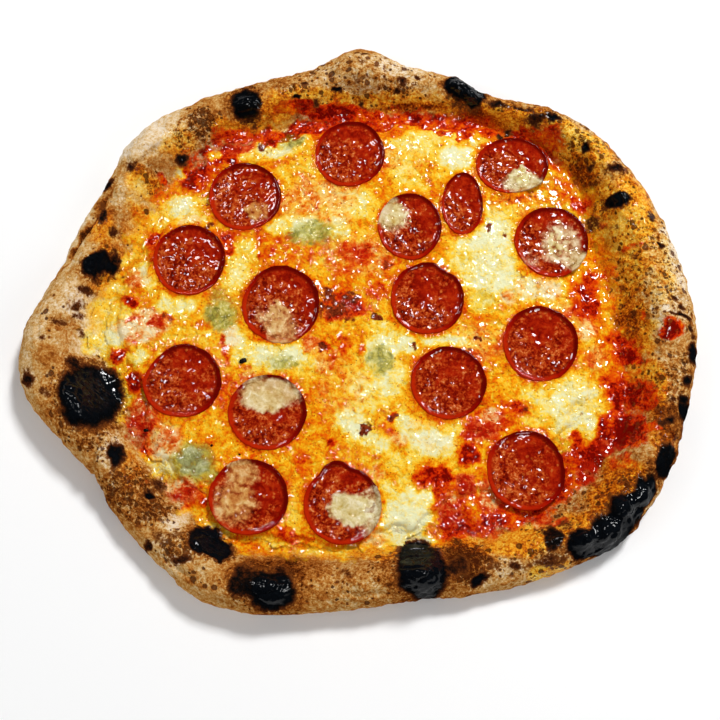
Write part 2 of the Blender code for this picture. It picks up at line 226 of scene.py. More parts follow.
# How rich the topping is: 0 is white cheese, 0.4 yellow, 0.6 orange oil, 0.8 red oil, 1 tomato.
TOPPING_TONES = (
    # broad stretches
    (-85, -3, 26, 10, 0.40), (-80, -50, 22, 10, 0.46), (-75, 82, 30, 14, 0.56), (0, 35, 24, 22, 0.54),
    (-22, 70, 24, 16, 0.44), (30, 100, 24, 16, 0.36), (-15, -30, 12, 28, 0.54), (60, 0, 18, 18, 0.54),
    (80, 65, 28, 8, 0.46, 10), (70, -45, 26, 12, 0.70), (-60, -62, 20, 8, 0.54), (-40, -104, 30, 6, 0.55),
    (10, -70, 14, 10, 0.48), (-30, 45, 18, 10, 0.58), (-56, 52, 16, 9, 0.66), (60, -95, 28, 12, 0.84),
    (112, -70, 14, 18, 0.95, 20), (128, -42, 10, 16, 0.98, 10), (95, 105, 18, 10, 0.82, -10),
    (-84, 94, 12, 12, 0.88), (-62, 104, 16, 6, 0.90), (116, 16, 8, 12, 0.86), (-112, 5, 14, 9, 0.40),
    (-108, -46, 9, 14, 0.78),
    # the upper left
    (-90, 83, 5, 5, 1), (-84, 96, 6, 7, 0.95), (-93, 69, 10, 6, 0.06, -20), (-80, 70, 8, 5, 0.34, 10),
    (-105, 64, 6, 8, 0.36), (-88, 61, 8, 3, 0.26), (-77, 98, 2.4, 3, 0.45, 20), (-94, 88, 3, 3, 0.20),
    (-68, 96, 4, 2, 0.95), (-106, 49, 6, 5, 0.97, 30), (-70, 49, 6, 6, 0.84), (-45, 82, 5, 8, 0.60),
    (-42, 92, 6, 4, 0.62), (-35, 88, 9, 5, 0.40), (-45, 102, 10, 6, 0.08), (-36, 107, 10, 4, 0.16, 10),
    (-48, 107, 4, 4, 0.92), (-28, 97, 5, 8, 0.34), (-14, 76, 7, 6, 0.34), (-28, 74, 8, 8, 0.54),
    (-44, 58, 6, 5, 0.12), (-30, 57, 9, 6, 0.10), (-36, 52, 2.6, 2.6, 0.82), (-10, 57, 6, 6, 0.16),
    (-66, 97, 3, 1.6, 1), (-57, 98, 8, 3, 0.30), (-75, 90, 3, 3, 0.80),
    # the top and upper right
    (15, 98, 3, 4, 0.10), (20, 112, 8, 4, 0.62), (25, 98, 4, 4, 0.46), (36, 92, 8, 5, 0.52),
    (32, 106, 10, 6, 0.28), (52, 96, 9, 8, 0.03), (63, 108, 6, 5, 0.22), (67, 104, 3, 3.4, 0.76),
    (60, 112, 6, 4, 0.50), (25, 86, 8, 5, 0.30), (5, 68, 8, 7, 0.32), (0, 76, 6, 5, 0.22),
    (38, 79, 6, 6, 0.52), (100, 108, 9, 8, 0.84), (88, 108, 6, 4, 0.82), (104, 97, 5, 4, 0.74),
    (103, 81, 4, 3, 0.52), (107, 76, 6, 7, 0.64), (74, 62, 10, 5, 0.30), (86, 73, 12, 3, 0.66),
    (78, 102, 5, 3, 0.72), (70, 64, 4, 4, 0.18),
    # the left
    (-118, 17, 5, 3, 0.98, -20), (-118, 33, 7, 8, 0.54), (-112, 34, 3, 4, 0.14), (-109, 26, 4, 4, 0.24),
    (-123, 0, 7, 5, 0.10), (-112, 6, 8, 5, 0.26), (-104, 6, 4, 3, 0.84), (-116, 8, 5, 2, 0.62, 20),
    (-94, 15, 9, 6, 0.22), (-98, 8, 3, 2, 0.66), (-88, -2, 12, 5, 0.40), (-65, 34, 8, 12, 0.22, 10),
    (-58, 44, 8, 6, 0.28), (-47, 43, 5, 4, 0.76), (-50, 48, 5, 4, 0.66), (-69, 47, 3.6, 4, 0.94),
    (-81, 4, 4, 2.4, 0.56), (-65, -2, 6, 6, 0.12), (-68, -9, 2.4, 7, 0.86, 15), (-42, -11, 17, 8, 0.06),
    (-58, -10, 8, 6, 0.22), (-30, -20, 6, 5, 0.40), (-122, -12, 6, 4, 0.95), (-112, -12, 6, 4, 0.20),
    (-112, -26, 5, 6, 0.95), (-24, -6, 4, 5, 0.66), (-20, -15, 5, 5, 0.40), (-116, -6, 4, 4, 0.60),
    # the middle
    (-2, 43, 9, 6, 0.76), (-8, 30, 7, 6, 0.68), (9, 22, 6, 5, 0.76), (15, 37, 3, 3, 0.70),
    (14, 48, 7, 5, 0.48), (4, 56, 6, 5, 0.46), (-10, 14, 12, 8, 0.90), (5, 6, 8, 4, 0.42),
    (16, 2, 7, 5, 0.26), (11, -10, 9, 9, 0.10), (24, -6, 5, 5, 0.08), (-8, -6, 4, 5, 0.80),
    (-18, -7, 3, 3, 0.92), (0, -5, 3, 6, 0.64), (44, -5, 13, 3, 0.12, -5), (59, -3, 5, 5, 0.44),
    (66, 36, 16, 20, 0.07, -10), (72, 52, 12, 9, 0.05), (55, 40, 8, 8, 0.20), (62, 17, 8, 6, 0.26),
    (90, 24, 14, 7, 0.22), (98, 22, 5, 6, 0.14), (79, 20, 4, 4, 0.36), (104, 16, 5, 3, 0.38),
    (74, 9, 6, 6, 0.42), (58, 7, 6, 6, 0.56), (60, -16, 10, 8, 0.62), (116, 12, 5, 7, 0.92),
    (115, 22, 5, 4, 0.86), (117, 0, 6, 5, 0.34), (112, -10, 8, 6, 0.50), (122, -18, 5, 4, 0.50),
    (126, 2, 6, 6, 0.60),
    # the lower left
    (-108, -50, 6, 9, 0.86), (-96, -54, 8, 7, 0.56), (-98, -66, 8, 7, 0.24), (-78, -49, 12, 6, 0.46),
    (-66, -34, 5, 12, 0.64), (-92, -85, 6, 5, 0.97), (-83, -83, 8, 7, 0.80), (-80, -92, 8, 4, 0.46),
    (-70, -93, 5, 4, 0.50), (-32, -88, 4, 12, 0.40), (-28, -66, 4, 7, 0.74), (-38, -60, 8, 4, 0.58),
    (-40, -103, 10, 4, 0.36), (-28, -104, 8, 2, 0.84, -10), (-55, -105, 8, 4, 0.58),
    (-36, -100, 5, 3, 0.80), (-20, -109, 10, 4, 0.42), (-62, -25, 4, 4, 0.66),
    # the bottom and lower right
    (8, -28, 13, 10, 0.24), (20, -22, 6, 6, 0.18), (-2, -46, 9, 8, 0.10), (8, -56, 8, 5, 0.16),
    (18, -43, 2.4, 2, 0.92), (15, -48, 3.4, 4, 0.62), (23, -48, 5, 6, 0.16), (36, -56, 12, 8, 0.08),
    (21, -66, 8, 6, 0.36), (-13, -57, 2.4, 2.4, 0.92), (5, -66, 8, 5, 0.50), (26, -76, 8, 6, 0.34),
    (37, -73, 10, 5, 0.95, 5), (42, -81, 7, 4, 0.74), (55, -62, 5, 5, 0.95), (60, -50, 9, 6, 0.88),
    (66, -44, 5, 4, 0.60), (46, -48, 6, 5, 0.34), (84, -38, 5, 4, 0.86), (77, -39, 3, 3, 0.82),
    (76, -30, 6, 5, 0.50), (105, -38, 19, 15, 0.14, -15), (92, -27, 9, 5, 0.26), (88, -46, 8, 4, 0.36),
    (110, -52, 9, 5, 0.28), (108, -55, 4, 4, 0.88), (101, -58, 5, 4, 0.50), (127, -49, 9, 9, 1),
    (120, -66, 10, 10, 1), (110, -76, 8, 7, 0.90), (92, -89, 18, 5, 0.86, 5), (66, -96, 22, 7, 0.86),
    (104, -72, 4, 9, 0.74, 10), (65, -82, 6, 8, 0.66), (52, -78, 5, 7, 0.92), (55, -89, 5, 7, 0.74, 10),
    (45, -90, 5, 9, 0.88), (44, -84, 3, 3, 0.60), (64, -70, 5, 7, 0.72), (22, -92, 14, 11, 0.04),
    (26, -104, 10, 3, 0.14, 5), (5, -104, 7, 5, 0.30), (-6, -108, 8, 4, 0.44), (36, -98, 5, 4, 0.60),
    (70, -104, 9, 4, 0.72), (82, -101, 8, 5, 0.66), (30, -84, 7, 5, 0.12), (14, -80, 4, 5, 0.20),
)
# Green from the blue cheese in the melted sheet.
GREEN = (
    (-26, 54, 14, 8, 0.7, 5), (-70, 10, 10, 10, 0.7, 20), (-72, 20, 6, 5, 0.6), (-82, -66, 12, 10, 1, -10),
    (-38, -14, 12, 7, 0.45), (11, -13, 8, 11, 0.45, 15), (-36, 106, 9, 5, 0.6, 10), (64, 18, 7, 6, 0.45),
    (57, 40, 7, 7, 0.35), (66, 30, 14, 14, 0.22), (-14, 50, 8, 6, 0.4), (-46, -24, 6, 5, 0.4),
    (-72, -72, 4, 5, 0.8, 30), (22, -50, 5, 6, 0.3),
)
# Cheese and tomato run together: pinkish white.
PINK = (
    (-112, 3, 15, 9, 0.9, 10), (-114, 30, 8, 7, 0.6), (-96, -56, 10, 11, 0.8), (-108, -44, 8, 12, 0.8),
    (-88, -80, 10, 8, 1), (60, -50, 9, 7, 0.8), (66, -44, 6, 5, 1), (52, -77, 5, 7, 1),
    (45, -90, 6, 9, 0.9), (65, -82, 7, 9, 0.9), (37, -55, 13, 9, 0.5), (30, -48, 9, 5, 0.5),
    (-2, 43, 9, 6, 0.6), (90, 24, 16, 7, 0.6), (98, 22, 7, 7, 0.7), (113, -72, 6, 7, 0.9),
    (124, -60, 6, 7, 0.7, 20), (-20, -15, 6, 6, 0.6), (-66, -2, 6, 7, 0.7), (-24, -6, 6, 6, 0.6),
    (8, -103, 8, 5, 0.6), (20, -54, 6, 4, 0.6), (-88, 61, 8, 3, 0.6), (104, 97, 5, 4, 0.6),
    (-62, 103, 12, 4, 0.6), (90, -97, 12, 5, 0.7), (66, -104, 10, 4, 0.6), (116, 2, 7, 7, 0.7),
    (-10, 12, 12, 9, 0.5), (78, 20, 5, 5, 0.7), (-40, -64, 8, 5, 0.3), (8, -30, 12, 6, 0.3),
    (-20, 71, 26, 17, 0.55), (0, 42, 26, 15, 0.5), (22, 96, 20, 12, 0.45), (-8, -28, 16, 24, 0.45),
    (62, -4, 20, 14, 0.5), (-40, -84, 12, 16, 0.4), (80, 68, 22, 7, 0.4), (104, 8, 14, 10, 0.5),
    (120, -12, 8, 8, 0.5), (-55, -22, 6, 5, 0.5), (5, -72, 9, 5, 0.5), (70, -62, 6, 8, 0.8),
)
# Scorched spots of the topping.
SCORCH = (
    (-12, 13, 7, 5, 0.75), (-4, 20, 5, 4, 0.7), (-16, 20, 5, 4, 0.6), (-6, 7, 5, 3, 0.6),
    (-20, 12, 3, 6, 0.6), (9, 10, 3, 2.6, 0.9), (3, -50, 3.4, 3, 1), (3, -50, 8, 6, 0.35),
    (15, 37, 2.6, 3, 0.6), (-82, 4, 2.4, 1.4, 0.45), (-83, 9, 2.4, 1.0, 0.4), (-98, 8, 3, 2.4, 0.5),
    (60, -3, 2, 1.6, 0.9), (57, -8, 1.4, 1, 0.8), (18, -43, 2, 1.6, 0.7), (-19, -7, 3, 2.6, 0.8),
    (95, -34, 3, 1.4, 0.5, 20), (112, -40, 2.4, 2, 0.5), (68, 57, 2.6, 2, 0.7), (75, 53, 2, 1.6, 0.6),
    (84, 30, 3, 2, 0.5), (92, 27, 4, 1.6, 0.5), (20, 85, 4, 3, 0.4), (-78, 58, 3, 2, 0.6),
    (82, 72, 6, 3, 0.45), (90, 74, 3, 2, 0.5), (-52, 104, 2, 3, 0.8, 30), (27, -7, 1.6, 2.4, 0.6),
    (84, -38, 3, 2, 0.5), (0, -3, 2, 4, 0.4), (7, -28, 1.4, 1.4, 0.4), (40, 92, 4, 2, 0.3),
)
# Lumps of crushed tomato and bubbles of cheese: the value is how far they stand up.
LUMPS = (
    (-90, 84, 5, 5, 1.2), (-84, 96, 7, 7, 0.9), (-106, 49, 5, 5, 0.8, 30), (-118, 17, 5, 3, 0.9, -20),
    (-122, -12, 6, 4, 0.8), (-112, -26, 4, 6, 0.8), (-108, -48, 5, 9, 0.8), (-92, -85, 6, 5, 1.2),
    (-83, -83, 7, 6, 0.8), (37, -73, 9, 5, 0.9, 5), (55, -62, 4.4, 4.4, 1.2), (60, -50, 7, 5, 0.7),
    (55, -89, 4, 6.5, 1.4, 10), (52, -77, 4, 6, 0.8), (45, -88, 4, 8, 0.7), (44, -84, 2.6, 2.6, 1),
    (66, -96, 14, 5, 0.9), (80, -93, 7, 5, 0.7), (127, -49, 8, 8, 1.1), (120, -66, 8, 8, 1),
    (110, -77, 6, 5, 0.8), (116, 12, 5, 7, 1), (100, 108, 8, 6, 0.9), (108, -55, 3.6, 3.6, 0.7),
    (-10, 14, 10, 8, 0.6), (22, -92, 13, 11, 0.7), (66, 36, 16, 18, 0.4, -10), (105, -38, 18, 14, 0.5, -15),
    (-42, -11, 16, 7, 0.4), (52, 96, 8, 7, 0.5), (-93, 69, 9, 5, 0.4, -20), (36, -56, 11, 7, 0.5),
    (-104, 6, 4, 3, 0.6), (67, 104, 3, 3.4, 0.5), (84, -38, 4, 3, 0.5), (70, -104, 6, 3, 0.6),
)
# Black flecks that fell on the topping: x, y, half width, half depth, height, turn.
FLECKS = (
    (-58.5, -14.5, 2.1, 1.2, 1, 20), (-106, -50, 1.3, 0.8, 0.7, 0), (-73, -57.5, 0.7, 0.6, 0.5, 0),
    (-59, -62, 0.6, 0.5, 0.5, 0), (0.2, -86, 0.5, 0.6, 0.4, 0),
)
# Thin pinkish films of cheese on the slices.
FILMS = (
    (-57, -72, 9, 8, 1), (-60, -86, 12, 12, 0.9, -20), (-45, -32, 15, 9, 1.3), (6, -90, 7, 13, 0.9),
    (-40, 2, 9, 15, 0.9, 15), (-50, 10, 5, 6, 0.6), (17, 64, 9, 9, 1.1, 25), (87, 81, 11, 7, 1),
    (105, 47, 12, 13, 0.8), (114, 38, 7, 8, 1, 30), (-53, 66, 8, 6, 0.8), (88, 40, 6, 6, 0.5),
)
SALAMI_COUNT = 16
BLUE_CHEESE_COUNT = 6
# How far the cheese on a slice reaches, every 45 degrees, as a share of its solid's reach.
CHEESE_FLOWS = {
    2: (1.0, 0.9, 1.0, 0.8, 1.0, 0.9, 1.1, 0.9),
    4: (1.0, 1.25, 1.1, 0.7, 0.8, 0.95, 1.15, 0.8),
    6: (1.1, 1.15, 1.0, 1.1, 1.0, 0.75, 0.9, 1.1),
    7: (1.0, 1.1, 1.1, 1.0, 0.9, 0.95, 1.1, 0.8),
    8: (1.1, 1.3, 1.0, 1.25, 1.1, 0.9, 0.9, 0.9),
    9: (0.8, 1.1, 1.1, 0.9, 1.2, 0.9, 0.7, 1.0),
    11: (1.1, 0.8, 1.0, 0.9, 1.2, 0.9, 1.1, 1.0),
    12: (0.7, 0.85, 1.1, 0.75, 0.7, 0.9, 1.15, 1.1),
}
# How far the cheese on a slice is broken up, so that the slice shows through it.
BROKEN = {2: 0.8, 4: 0.8, 6: 0.6, 7: 0.9, 8: 0.4, 9: 1.1, 11: 0.8, 12: 1.2}
# The colour of the cheese on each slice: 0 is pale green-white, 1 is ochre.
FILM_TINTS = {2: 0.9, 4: 0.75, 6: 0.35, 7: 0.85, 8: 0.1, 9: 0.2, 11: 0.0, 12: 0.2, 15: 0.6}


# ---------------------------------------------------------------- points and numbers

SEED_STEP = 17.31  # how far apart two seeds lie in the noise


def at(x, y, z=0.0):
    """Points from their coordinates, one for every x and y."""
    return np.stack((x, y, z + 0 * x), axis=1)


def lifted(points, z):
    """The points moved up or down to those heights."""
    return at(points[:, 0], points[:, 1], z)


def flat(points):
    return lifted(points, 0.0)


def polar(points, centre=(0, 0)):
    """The direction and the distance of every point from a centre, seen from above."""
    x, y = points[:, 0] - centre[0], points[:, 1] - centre[1]
    return np.arctan2(y, x), np.hypot(x, y)


def around(angle, radius, z=0.0, centre=(0, 0)):
    """Points at those directions and distances from a centre."""
    return at(centre[0] + radius * np.cos(angle), centre[1] + radius * np.sin(angle), z)


def ring_value(values, angle):
    """A smooth closed curve through values spread evenly round the circle, as in the solids."""
    values = np.array(values, float)
    place = np.asarray(angle) / (2 * pi) * len(values)
    first = np.floor(place).astype(int)
    t = place - first
    a, b, c, d = (values[(first + step) % len(values)] for step in (-1, 0, 1, 2))
    bend = 2 * a - 5 * b + 4 * c - d
    return b + 0.5 * t * (c - a + t * (bend + t * (3 * (b - c) + d - a)))


def eased(low, high, value):
    """0 below low and 1 above high, with a smooth step between them."""
    t = np.clip((value - low) / (high - low), 0, 1)
    return t * t * (3 - 2 * t)


def scattered(points, size, seed):
    """The points in units of a noise's lumps, moved to the seed's own place in it."""
    return (points / size + SEED_STEP * seed).tolist()


def rough(points, size, seed, layers=1):
    """Smooth noise of about -1 to 1 at every point; size is the width of its lumps."""
    return np.array([noise.fractal(point, 0.7, 2.0, layers) for point in scattered(points, size, seed)])


def creased(points, size, seed):
    """1 along thin winding lines and 0 away from them."""
    return 1 - np.clip(abs(rough(points, size, seed)) * 5, 0, 1)


def bubbled(points, size, seed):
    """Round bubbles packed side by side, 1 on their tops and 0 between them."""
    away = np.array([noise.voronoi(point)[0][0] for point in scattered(points, size, seed)])
    return np.clip(1 - (away / 0.5) ** 2, 0, 1)


def oval(points, row, whole=0.6, nothing=1.4):
    """1 in the middle of a table's oval, fading to 0; the bounds are shares of the oval's size."""
    x, y, half_width, half_depth, _, *turn = row
    tilt = radians(sum(turn))
    east, north = points[:, 0] - x, points[:, 1] - y
    along = east * cos(tilt) + north * sin(tilt)
    across = north * cos(tilt) - east * sin(tilt)
    return 1 - eased(whole, nothing, np.hypot(along / half_width, across / half_depth))


def brushed(points, start, rows, whole, nothing):
    """Paints the ovals of a table over a starting value, one after another."""
    value = start + 0 * points[:, 0]
    for row in rows:
        value += (row[4] - value) * oval(points, row, whole, nothing)
    return value


def strongest(points, rows, whole=0.6, nothing=1.4):
    """The strongest of a table's ovals everywhere."""
    value = 0 * points[:, 0]
    for row in rows:
        value = np.maximum(value, row[4] * oval(points, row, whole, nothing))
    return value


def ragged(points, reach, size, seed):
    """The points pushed sideways, so that the ovals painted on them get ragged edges."""
    push = (
        rough(points, size, seed + way) * reach + rough(points, size / 3, seed + 2 + way) * reach / 3
        for way in (0, 1)
    )
    return points + at(*push)


# ---------------------------------------------------------------- the dough's surface

def raised(points, share):
    """The points lifted by their share of the blisters and of the uneven swelling, as in the solids."""
    rise = 0 * points[:, 0]
    for x, y, radius, height in BLISTERS:
        near = np.clip(1 - (polar(points, (x, y))[1] / radius) ** 2, 0, 1)
        rise = np.maximum(rise, height * near**1.5)
    swell = np.array([noise.noise(point) for point in (flat(points) / SWELL_LENGTH).tolist()])
    return lifted(points, points[:, 2] + share * (rise + SWELL * swell))


def rim_sizes(angle):
    """The rim's reach, ridge and foot as distances from the origin, and its height."""
    reach = ring_value(RIM_REACH, angle)
    foot = ring_value(RIM_FOOT, angle)
    return reach, reach - RIDGE_SHARE * (reach - foot), foot, ring_value(RIM_HEIGHT, angle)


# The five sides of the dough's wall. Turn goes from 0 to 1 along each. They give the distance from
# the origin, the height, and the share of the blisters and the swelling.

def underside(angle, turn):
    reach, _, foot, _ = rim_sizes(angle)
    return turn * (reach - UNDERCUT_SHARE * (reach - foot)), 0, 0


def under_edge(angle, turn):
    reach, _, foot, height = rim_sizes(angle)
    curl = UNDERCUT_SHARE * (reach - foot)
    lift = 0.5 * pi * turn
    return reach - curl + curl * sin(lift), BELLY_SHARE * height * (1 - cos(lift)), 0


def outer_side(angle, turn):
    reach, ridge, _, height = rim_sizes(angle)
    belly = BELLY_SHARE * height
    lift = 0.5 * pi * turn
    return ridge + (reach - ridge) * cos(lift), belly + (height - belly) * sin(lift), sin(lift)


def inner_slope(angle, turn):
    _, ridge, foot, height = rim_sizes(angle)
    fall = 0.5 + 0.5 * np.cos(pi * turn)
    return ridge - turn * (ridge - foot), BASE_TOP + (height - BASE_TOP) * fall, fall


def base_top(angle, turn):
    return rim_sizes(angle)[2] * (1 - turn), BASE_TOP, 0


def dough_height(points):
    """The height of the dough's upper side inside the ridge."""
    angle, radius = polar(points)
    _, ridge, foot, _ = rim_sizes(angle)
    _, z, share = inner_slope(angle, np.clip((ridge - radius) / (ridge - foot), 0, 1))
    return raised(lifted(points, z), share)[:, 2]


# ---------------------------------------------------------------- making meshes

WELD = 0.02
FINE_WELD = 0.01


def points_of(bm):
    return np.array([vert.co for vert in bm.verts]) / MM


def laid(bm, points, weld=0.0):
    """Moves every vertex to its point, joins those nearer than weld, and gives the points left."""
    for vert, point in zip(bm.verts, (points * MM).tolist()):
        vert.co = point
    if weld:
        bmesh.ops.remove_doubles(bm, verts=bm.verts, dist=weld * MM)
    return points_of(bm)


def spun(stations, steps):
    """A tube of unit radius, one millimetre high for each station, spun from a line of vertices."""
    bm = bmesh.new()
    line = [bm.verts.new((MM, 0, station * MM)) for station in range(stations)]
    edges = [bm.edges.new(pair) for pair in zip(line, line[1:])]
    bmesh.ops.spin(
        bm, geom=line + edges, cent=(0, 0, 0), axis=(0, 0, 1), dvec=(0, 0, 0), angle=2 * pi,
        steps=steps, use_merge=True, use_normal_flip=False, use_duplicate=False,
    )
    tube = points_of(bm)
    return bm, polar(tube)[0], np.rint(tube[:, 2]).astype(int)


def placed(name, data):
    """A new object with that data, in the scene."""
    thing = bpy.data.objects.new(name, data)
    bpy.context.scene.collection.objects.link(thing)
    return thing


def meshed(bm, name, material):
    """Makes the bmesh an object of that name and material."""
    mesh = bpy.data.meshes.new(name)
    bm.to_mesh(mesh)
    bm.free()
    mesh.materials.append(material)
    return placed(name, mesh)


def finished(bm, name, material, fields, node_names):
    """Makes the bmesh a piece that rides on the body and stands for its nodes."""
    bmesh.ops.recalc_face_normals(bm, faces=bm.faces)
    piece = meshed(bm, name, material)
    piece.data.shade_smooth()
    for field, values in fields.items():
        attribute = piece.data.attributes.new(field, "FLOAT", "POINT")
        attribute.data.foreach_set("value", np.asarray(values, np.float32))
    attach(piece, "root")
    if node_names:
        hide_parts(*node_names)


def outline(node, rise):
    """The centre and the reach in every direction of the node's ring at that height above its seat."""
    points = np.array([vert.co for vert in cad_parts[node].data.vertices]) / MM
    ring = points[abs(points[:, 2] - points[:, 2].min() - rise) < 0.05]
    centre = (ring.min(0) + ring.max(0)) / 2
    turns, reaches = polar(ring, centre)
    return centre, lambda angle: np.interp(angle, turns, reaches, period=2 * pi)


# ---------------------------------------------------------------- finishes

# The places of the colours among a Mix node's inputs and outputs.
MIX_UNDER, MIX_OVER, MIX_RESULT = 6, 7, 2


def linear(red, green, blue):
    """A colour from its screen values, 0 to 255."""
    return tuple(
        share / 12.92 if share <= 0.04045 else ((share + 0.055) / 1.055) ** 2.4
        for share in (red / 255, green / 255, blue / 255)
    ) + (1.0,)


class Value:
    """A number or a colour that changes over a surface: the output of a finish's node."""

    def __init__(self, finish, socket):
        self.finish = finish
        self.socket = socket

    def __add__(self, other):
        return self.finish.math("ADD", self, other)

    def __sub__(self, other):
        return self.finish.math("SUBTRACT", self, other)

    def __mul__(self, other):
        return self.finish.math("MULTIPLY", self, other)

    __radd__ = __add__
    __rmul__ = __mul__

    def largest(self, other):
        return self.finish.math("MAXIMUM", self, other)

    def spread(self, low, high, new_low=0.0, new_high=1.0):
        """Maps low to high smoothly onto another range, and holds its ends."""
        values = {"Value": self, "From Min": low, "From Max": high, "To Min": new_low, "To Max": new_high}
        return self.finish.add("MapRange", "Result", values, interpolation_type="SMOOTHSTEP")

    def near(self, number, width):
        """1 where the value is that number, fading to 0 within the width."""
        return self.finish.math("ABSOLUTE", self - number).spread(0.0, width, 1.0, 0.0)

    def ramp(self, *stops):
        """A colour ramp through (place, red, green, blue) stops in screen values."""
        colour = self.finish.add("ValToRGB", "Color", {"Fac": self})
        elements = colour.socket.node.color_ramp.elements
        while len(elements) < len(stops):
            elements.new(0.5)
        for element, (place, *screen) in zip(elements, stops):
            element.position = place
            element.color = linear(*screen)
        return colour

    def painted(self, share, colour):
        """This colour with another one over it, as thickly as the share says."""
        values = {"Factor": share, MIX_UNDER: self, MIX_OVER: colour}
        return self.finish.add("Mix", MIX_RESULT, values, data_type="RGBA")


class Finish:
    """A material with a Principled shader and short words for the nodes that paint it."""

    def __init__(self, name):
        self.material = bpy.data.materials.new(name)
        self.material.use_nodes = True
        self.tree = self.material.node_tree
        self.inputs = self.tree.nodes["Principled BSDF"].inputs
        self.inputs["Specular IOR Level"].default_value = 0.0
        self.place = self.add("TexCoord", "Object", {})

    def add(self, kind, output, values, **settings):
        """A new node's output; the values are set on, or wired to, the inputs they are named for."""
        node = self.tree.nodes.new("ShaderNode" + kind)
        for name, setting in settings.items():
            setattr(node, name, setting)
        for key, value in values.items():
            self.wire(node.inputs[key], value)
        return Value(self, node.outputs[output])

    def wire(self, socket, value):
        if isinstance(value, Value):
            self.tree.links.new(value.socket, socket)
        else:
            socket.default_value = value

    def math(self, operation, *values):
        return self.add("Math", 0, dict(enumerate(values)), operation=operation)

    def field(self, name):
        """The numbers that a piece carries on its vertices under that name."""
        return self.add("Attribute", "Fac", {}, attribute_name=name)

    def noise(self, output, size, **values):
        return self.add("TexNoise", output, {"Vector": self.place, "Scale": 0.5 / (size * MM), **values})

    def grain(self, size, detail=2.0, distortion=0.0, crumbling=0.6):
        """Noise of about -0.5 to 0.5 with lumps of that size in millimetres."""
        return self.noise("Fac", size, Detail=detail, Roughness=crumbling, Distortion=distortion) - 0.5

    def cells(self, size, warp=None):
        """Cells of that size in millimetres: the distance to a cell's middle, and its own number.

        The warp is the size and the reach of a noise that pushes the cells out of shape.
        """
        place = self.place
        if warp:
            push = self.noise("Color", warp[0], Detail=2.0)
            values = {0: push, 1: (warp[1] * MM,) * 3, 2: place}
            place = self.add("VectorMath", "Vector", values, operation="MULTIPLY_ADD")
        distance = self.add("TexVoronoi", "Distance", {"Vector": place, "Scale": 1 / (size * MM)})
        colour = Value(self, distance.socket.node.outputs["Color"])
        return distance, self.add("SeparateColor", 0, {"Color": colour})

    def bumps(self, layers):
        """A normal from (height, depth in millimetres) layers, one on another."""
        below = {}
        for height, depth in layers:
            normal = self.add("Bump", "Normal", {"Height": height, "Distance": depth * MM, **below})
            below = {"Normal": normal}
        return normal

    def coated(self, colour, layers, wet_layers, roughness, coat, coat_roughness):
        """The material, with the bumps of the surface itself and the smoother ones of its oil."""
        values = {
            "Base Color": colour, "Normal": self.bumps(layers), "Coat Normal": self.bumps(wet_layers),
            "Roughness": roughness, "Coat Weight": coat, "Coat Roughness": coat_roughness,
        }
        for name, value in values.items():
            self.wire(self.inputs[name], value)
        return self.material


def topping_paint(finish):
    """The topping, from white cheese over orange oil to tomato: its colour, its bumps and its oil's."""
    blotches = finish.grain(4.5, 3, 0.6)
    grains = finish.grain(1.5, 2, 0.5)
    fine = finish.grain(0.6, 3)
    tone = finish.field("tone") + 0.75 * blotches + 0.65 * grains + 0.5 * fine
    # the darkest stops are deep tomato, and also the painted shade that red rows above 1 give the shaded
    # inner walls
    colour = tone.ramp(
        (0.0, 232, 229, 182), (0.15, 239, 222, 140), (0.30, 246, 206, 66), (0.45, 243, 173, 22),
        (0.59, 232, 128, 8), (0.72, 222, 84, 6), (0.84, 204, 46, 5), (0.93, 170, 23, 4), (1.0, 118, 8, 2),
    )
    pink = (finish.field("pink") + 0.6 * blotches).spread(0.3, 0.85, 0.0, 0.75)
    colour = colour.painted(pink, (tone + 0.9 * grains).ramp(
        (0.1, 240, 222, 186), (0.4, 236, 184, 130), (0.62, 222, 102, 46), (0.9, 182, 30, 8)))
    green = (finish.field("green") + 0.8 * blotches).spread(0.2, 0.9, 0.0, 0.85)
    colour = colour.painted(green, (tone + 0.7 * grains).ramp(
        (0.0, 196, 198, 132), (0.35, 170, 158, 62), (0.8, 132, 104, 20)))
    # the rims of small burst bubbles, and specks of spice
    distance, own = finish.cells(2.8, (2.0, 1.6))
    ring = distance.near(0.34, 0.1) * own.spread(0.5, 0.65) * blotches.spread(-0.06, 0.1)
    ring = ring * tone.spread(0.2, 0.45, 0.3, 0.8)
    colour = colour.painted(ring, tone.ramp((0.2, 210, 140, 50), (0.6, 182, 66, 8), (0.9, 104, 10, 2)))
    distance, own = finish.cells(1.3)
    speck = distance.spread(0.16, 0.36, 1.0, 0.0) * own.spread(0.86, 0.9) * tone.spread(0.1, 0.4, 0.3, 0.9)
    colour = colour.painted(speck, linear(150, 44, 6))
    scorched = (finish.field("scorch") + 1.3 * grains).spread(0.35, 0.75)
    colour = colour.painted(scorched, (0.5 + fine).ramp((0.4, 84, 22, 9), (0.6, 140, 54, 22)))
    unsmooth = tone.spread(0.0, 0.4, 0.35, 1.0)
    layers = ((finish.grain(2.8, 1) * unsmooth, 1.6), (grains * unsmooth, 1.2), (fine, 0.3))
    pale = finish.field("tone").spread(0.0, 0.3, 0.14, 0.03)
    clusters = (finish.grain(8, 2) + pale).spread(0.0, 0.16, 0.2, 1.0)
    wet_layers = ((finish.grain(7, 1), 0.6), (finish.grain(1.7, 0.5, 0.9) * clusters, 0.7))
    return colour, layers, wet_layers


def mozzarella_finish():
    finish = Finish("melted_mozzarella")
    return finish.coated(*topping_paint(finish), 0.45, 0.7, 0.05)


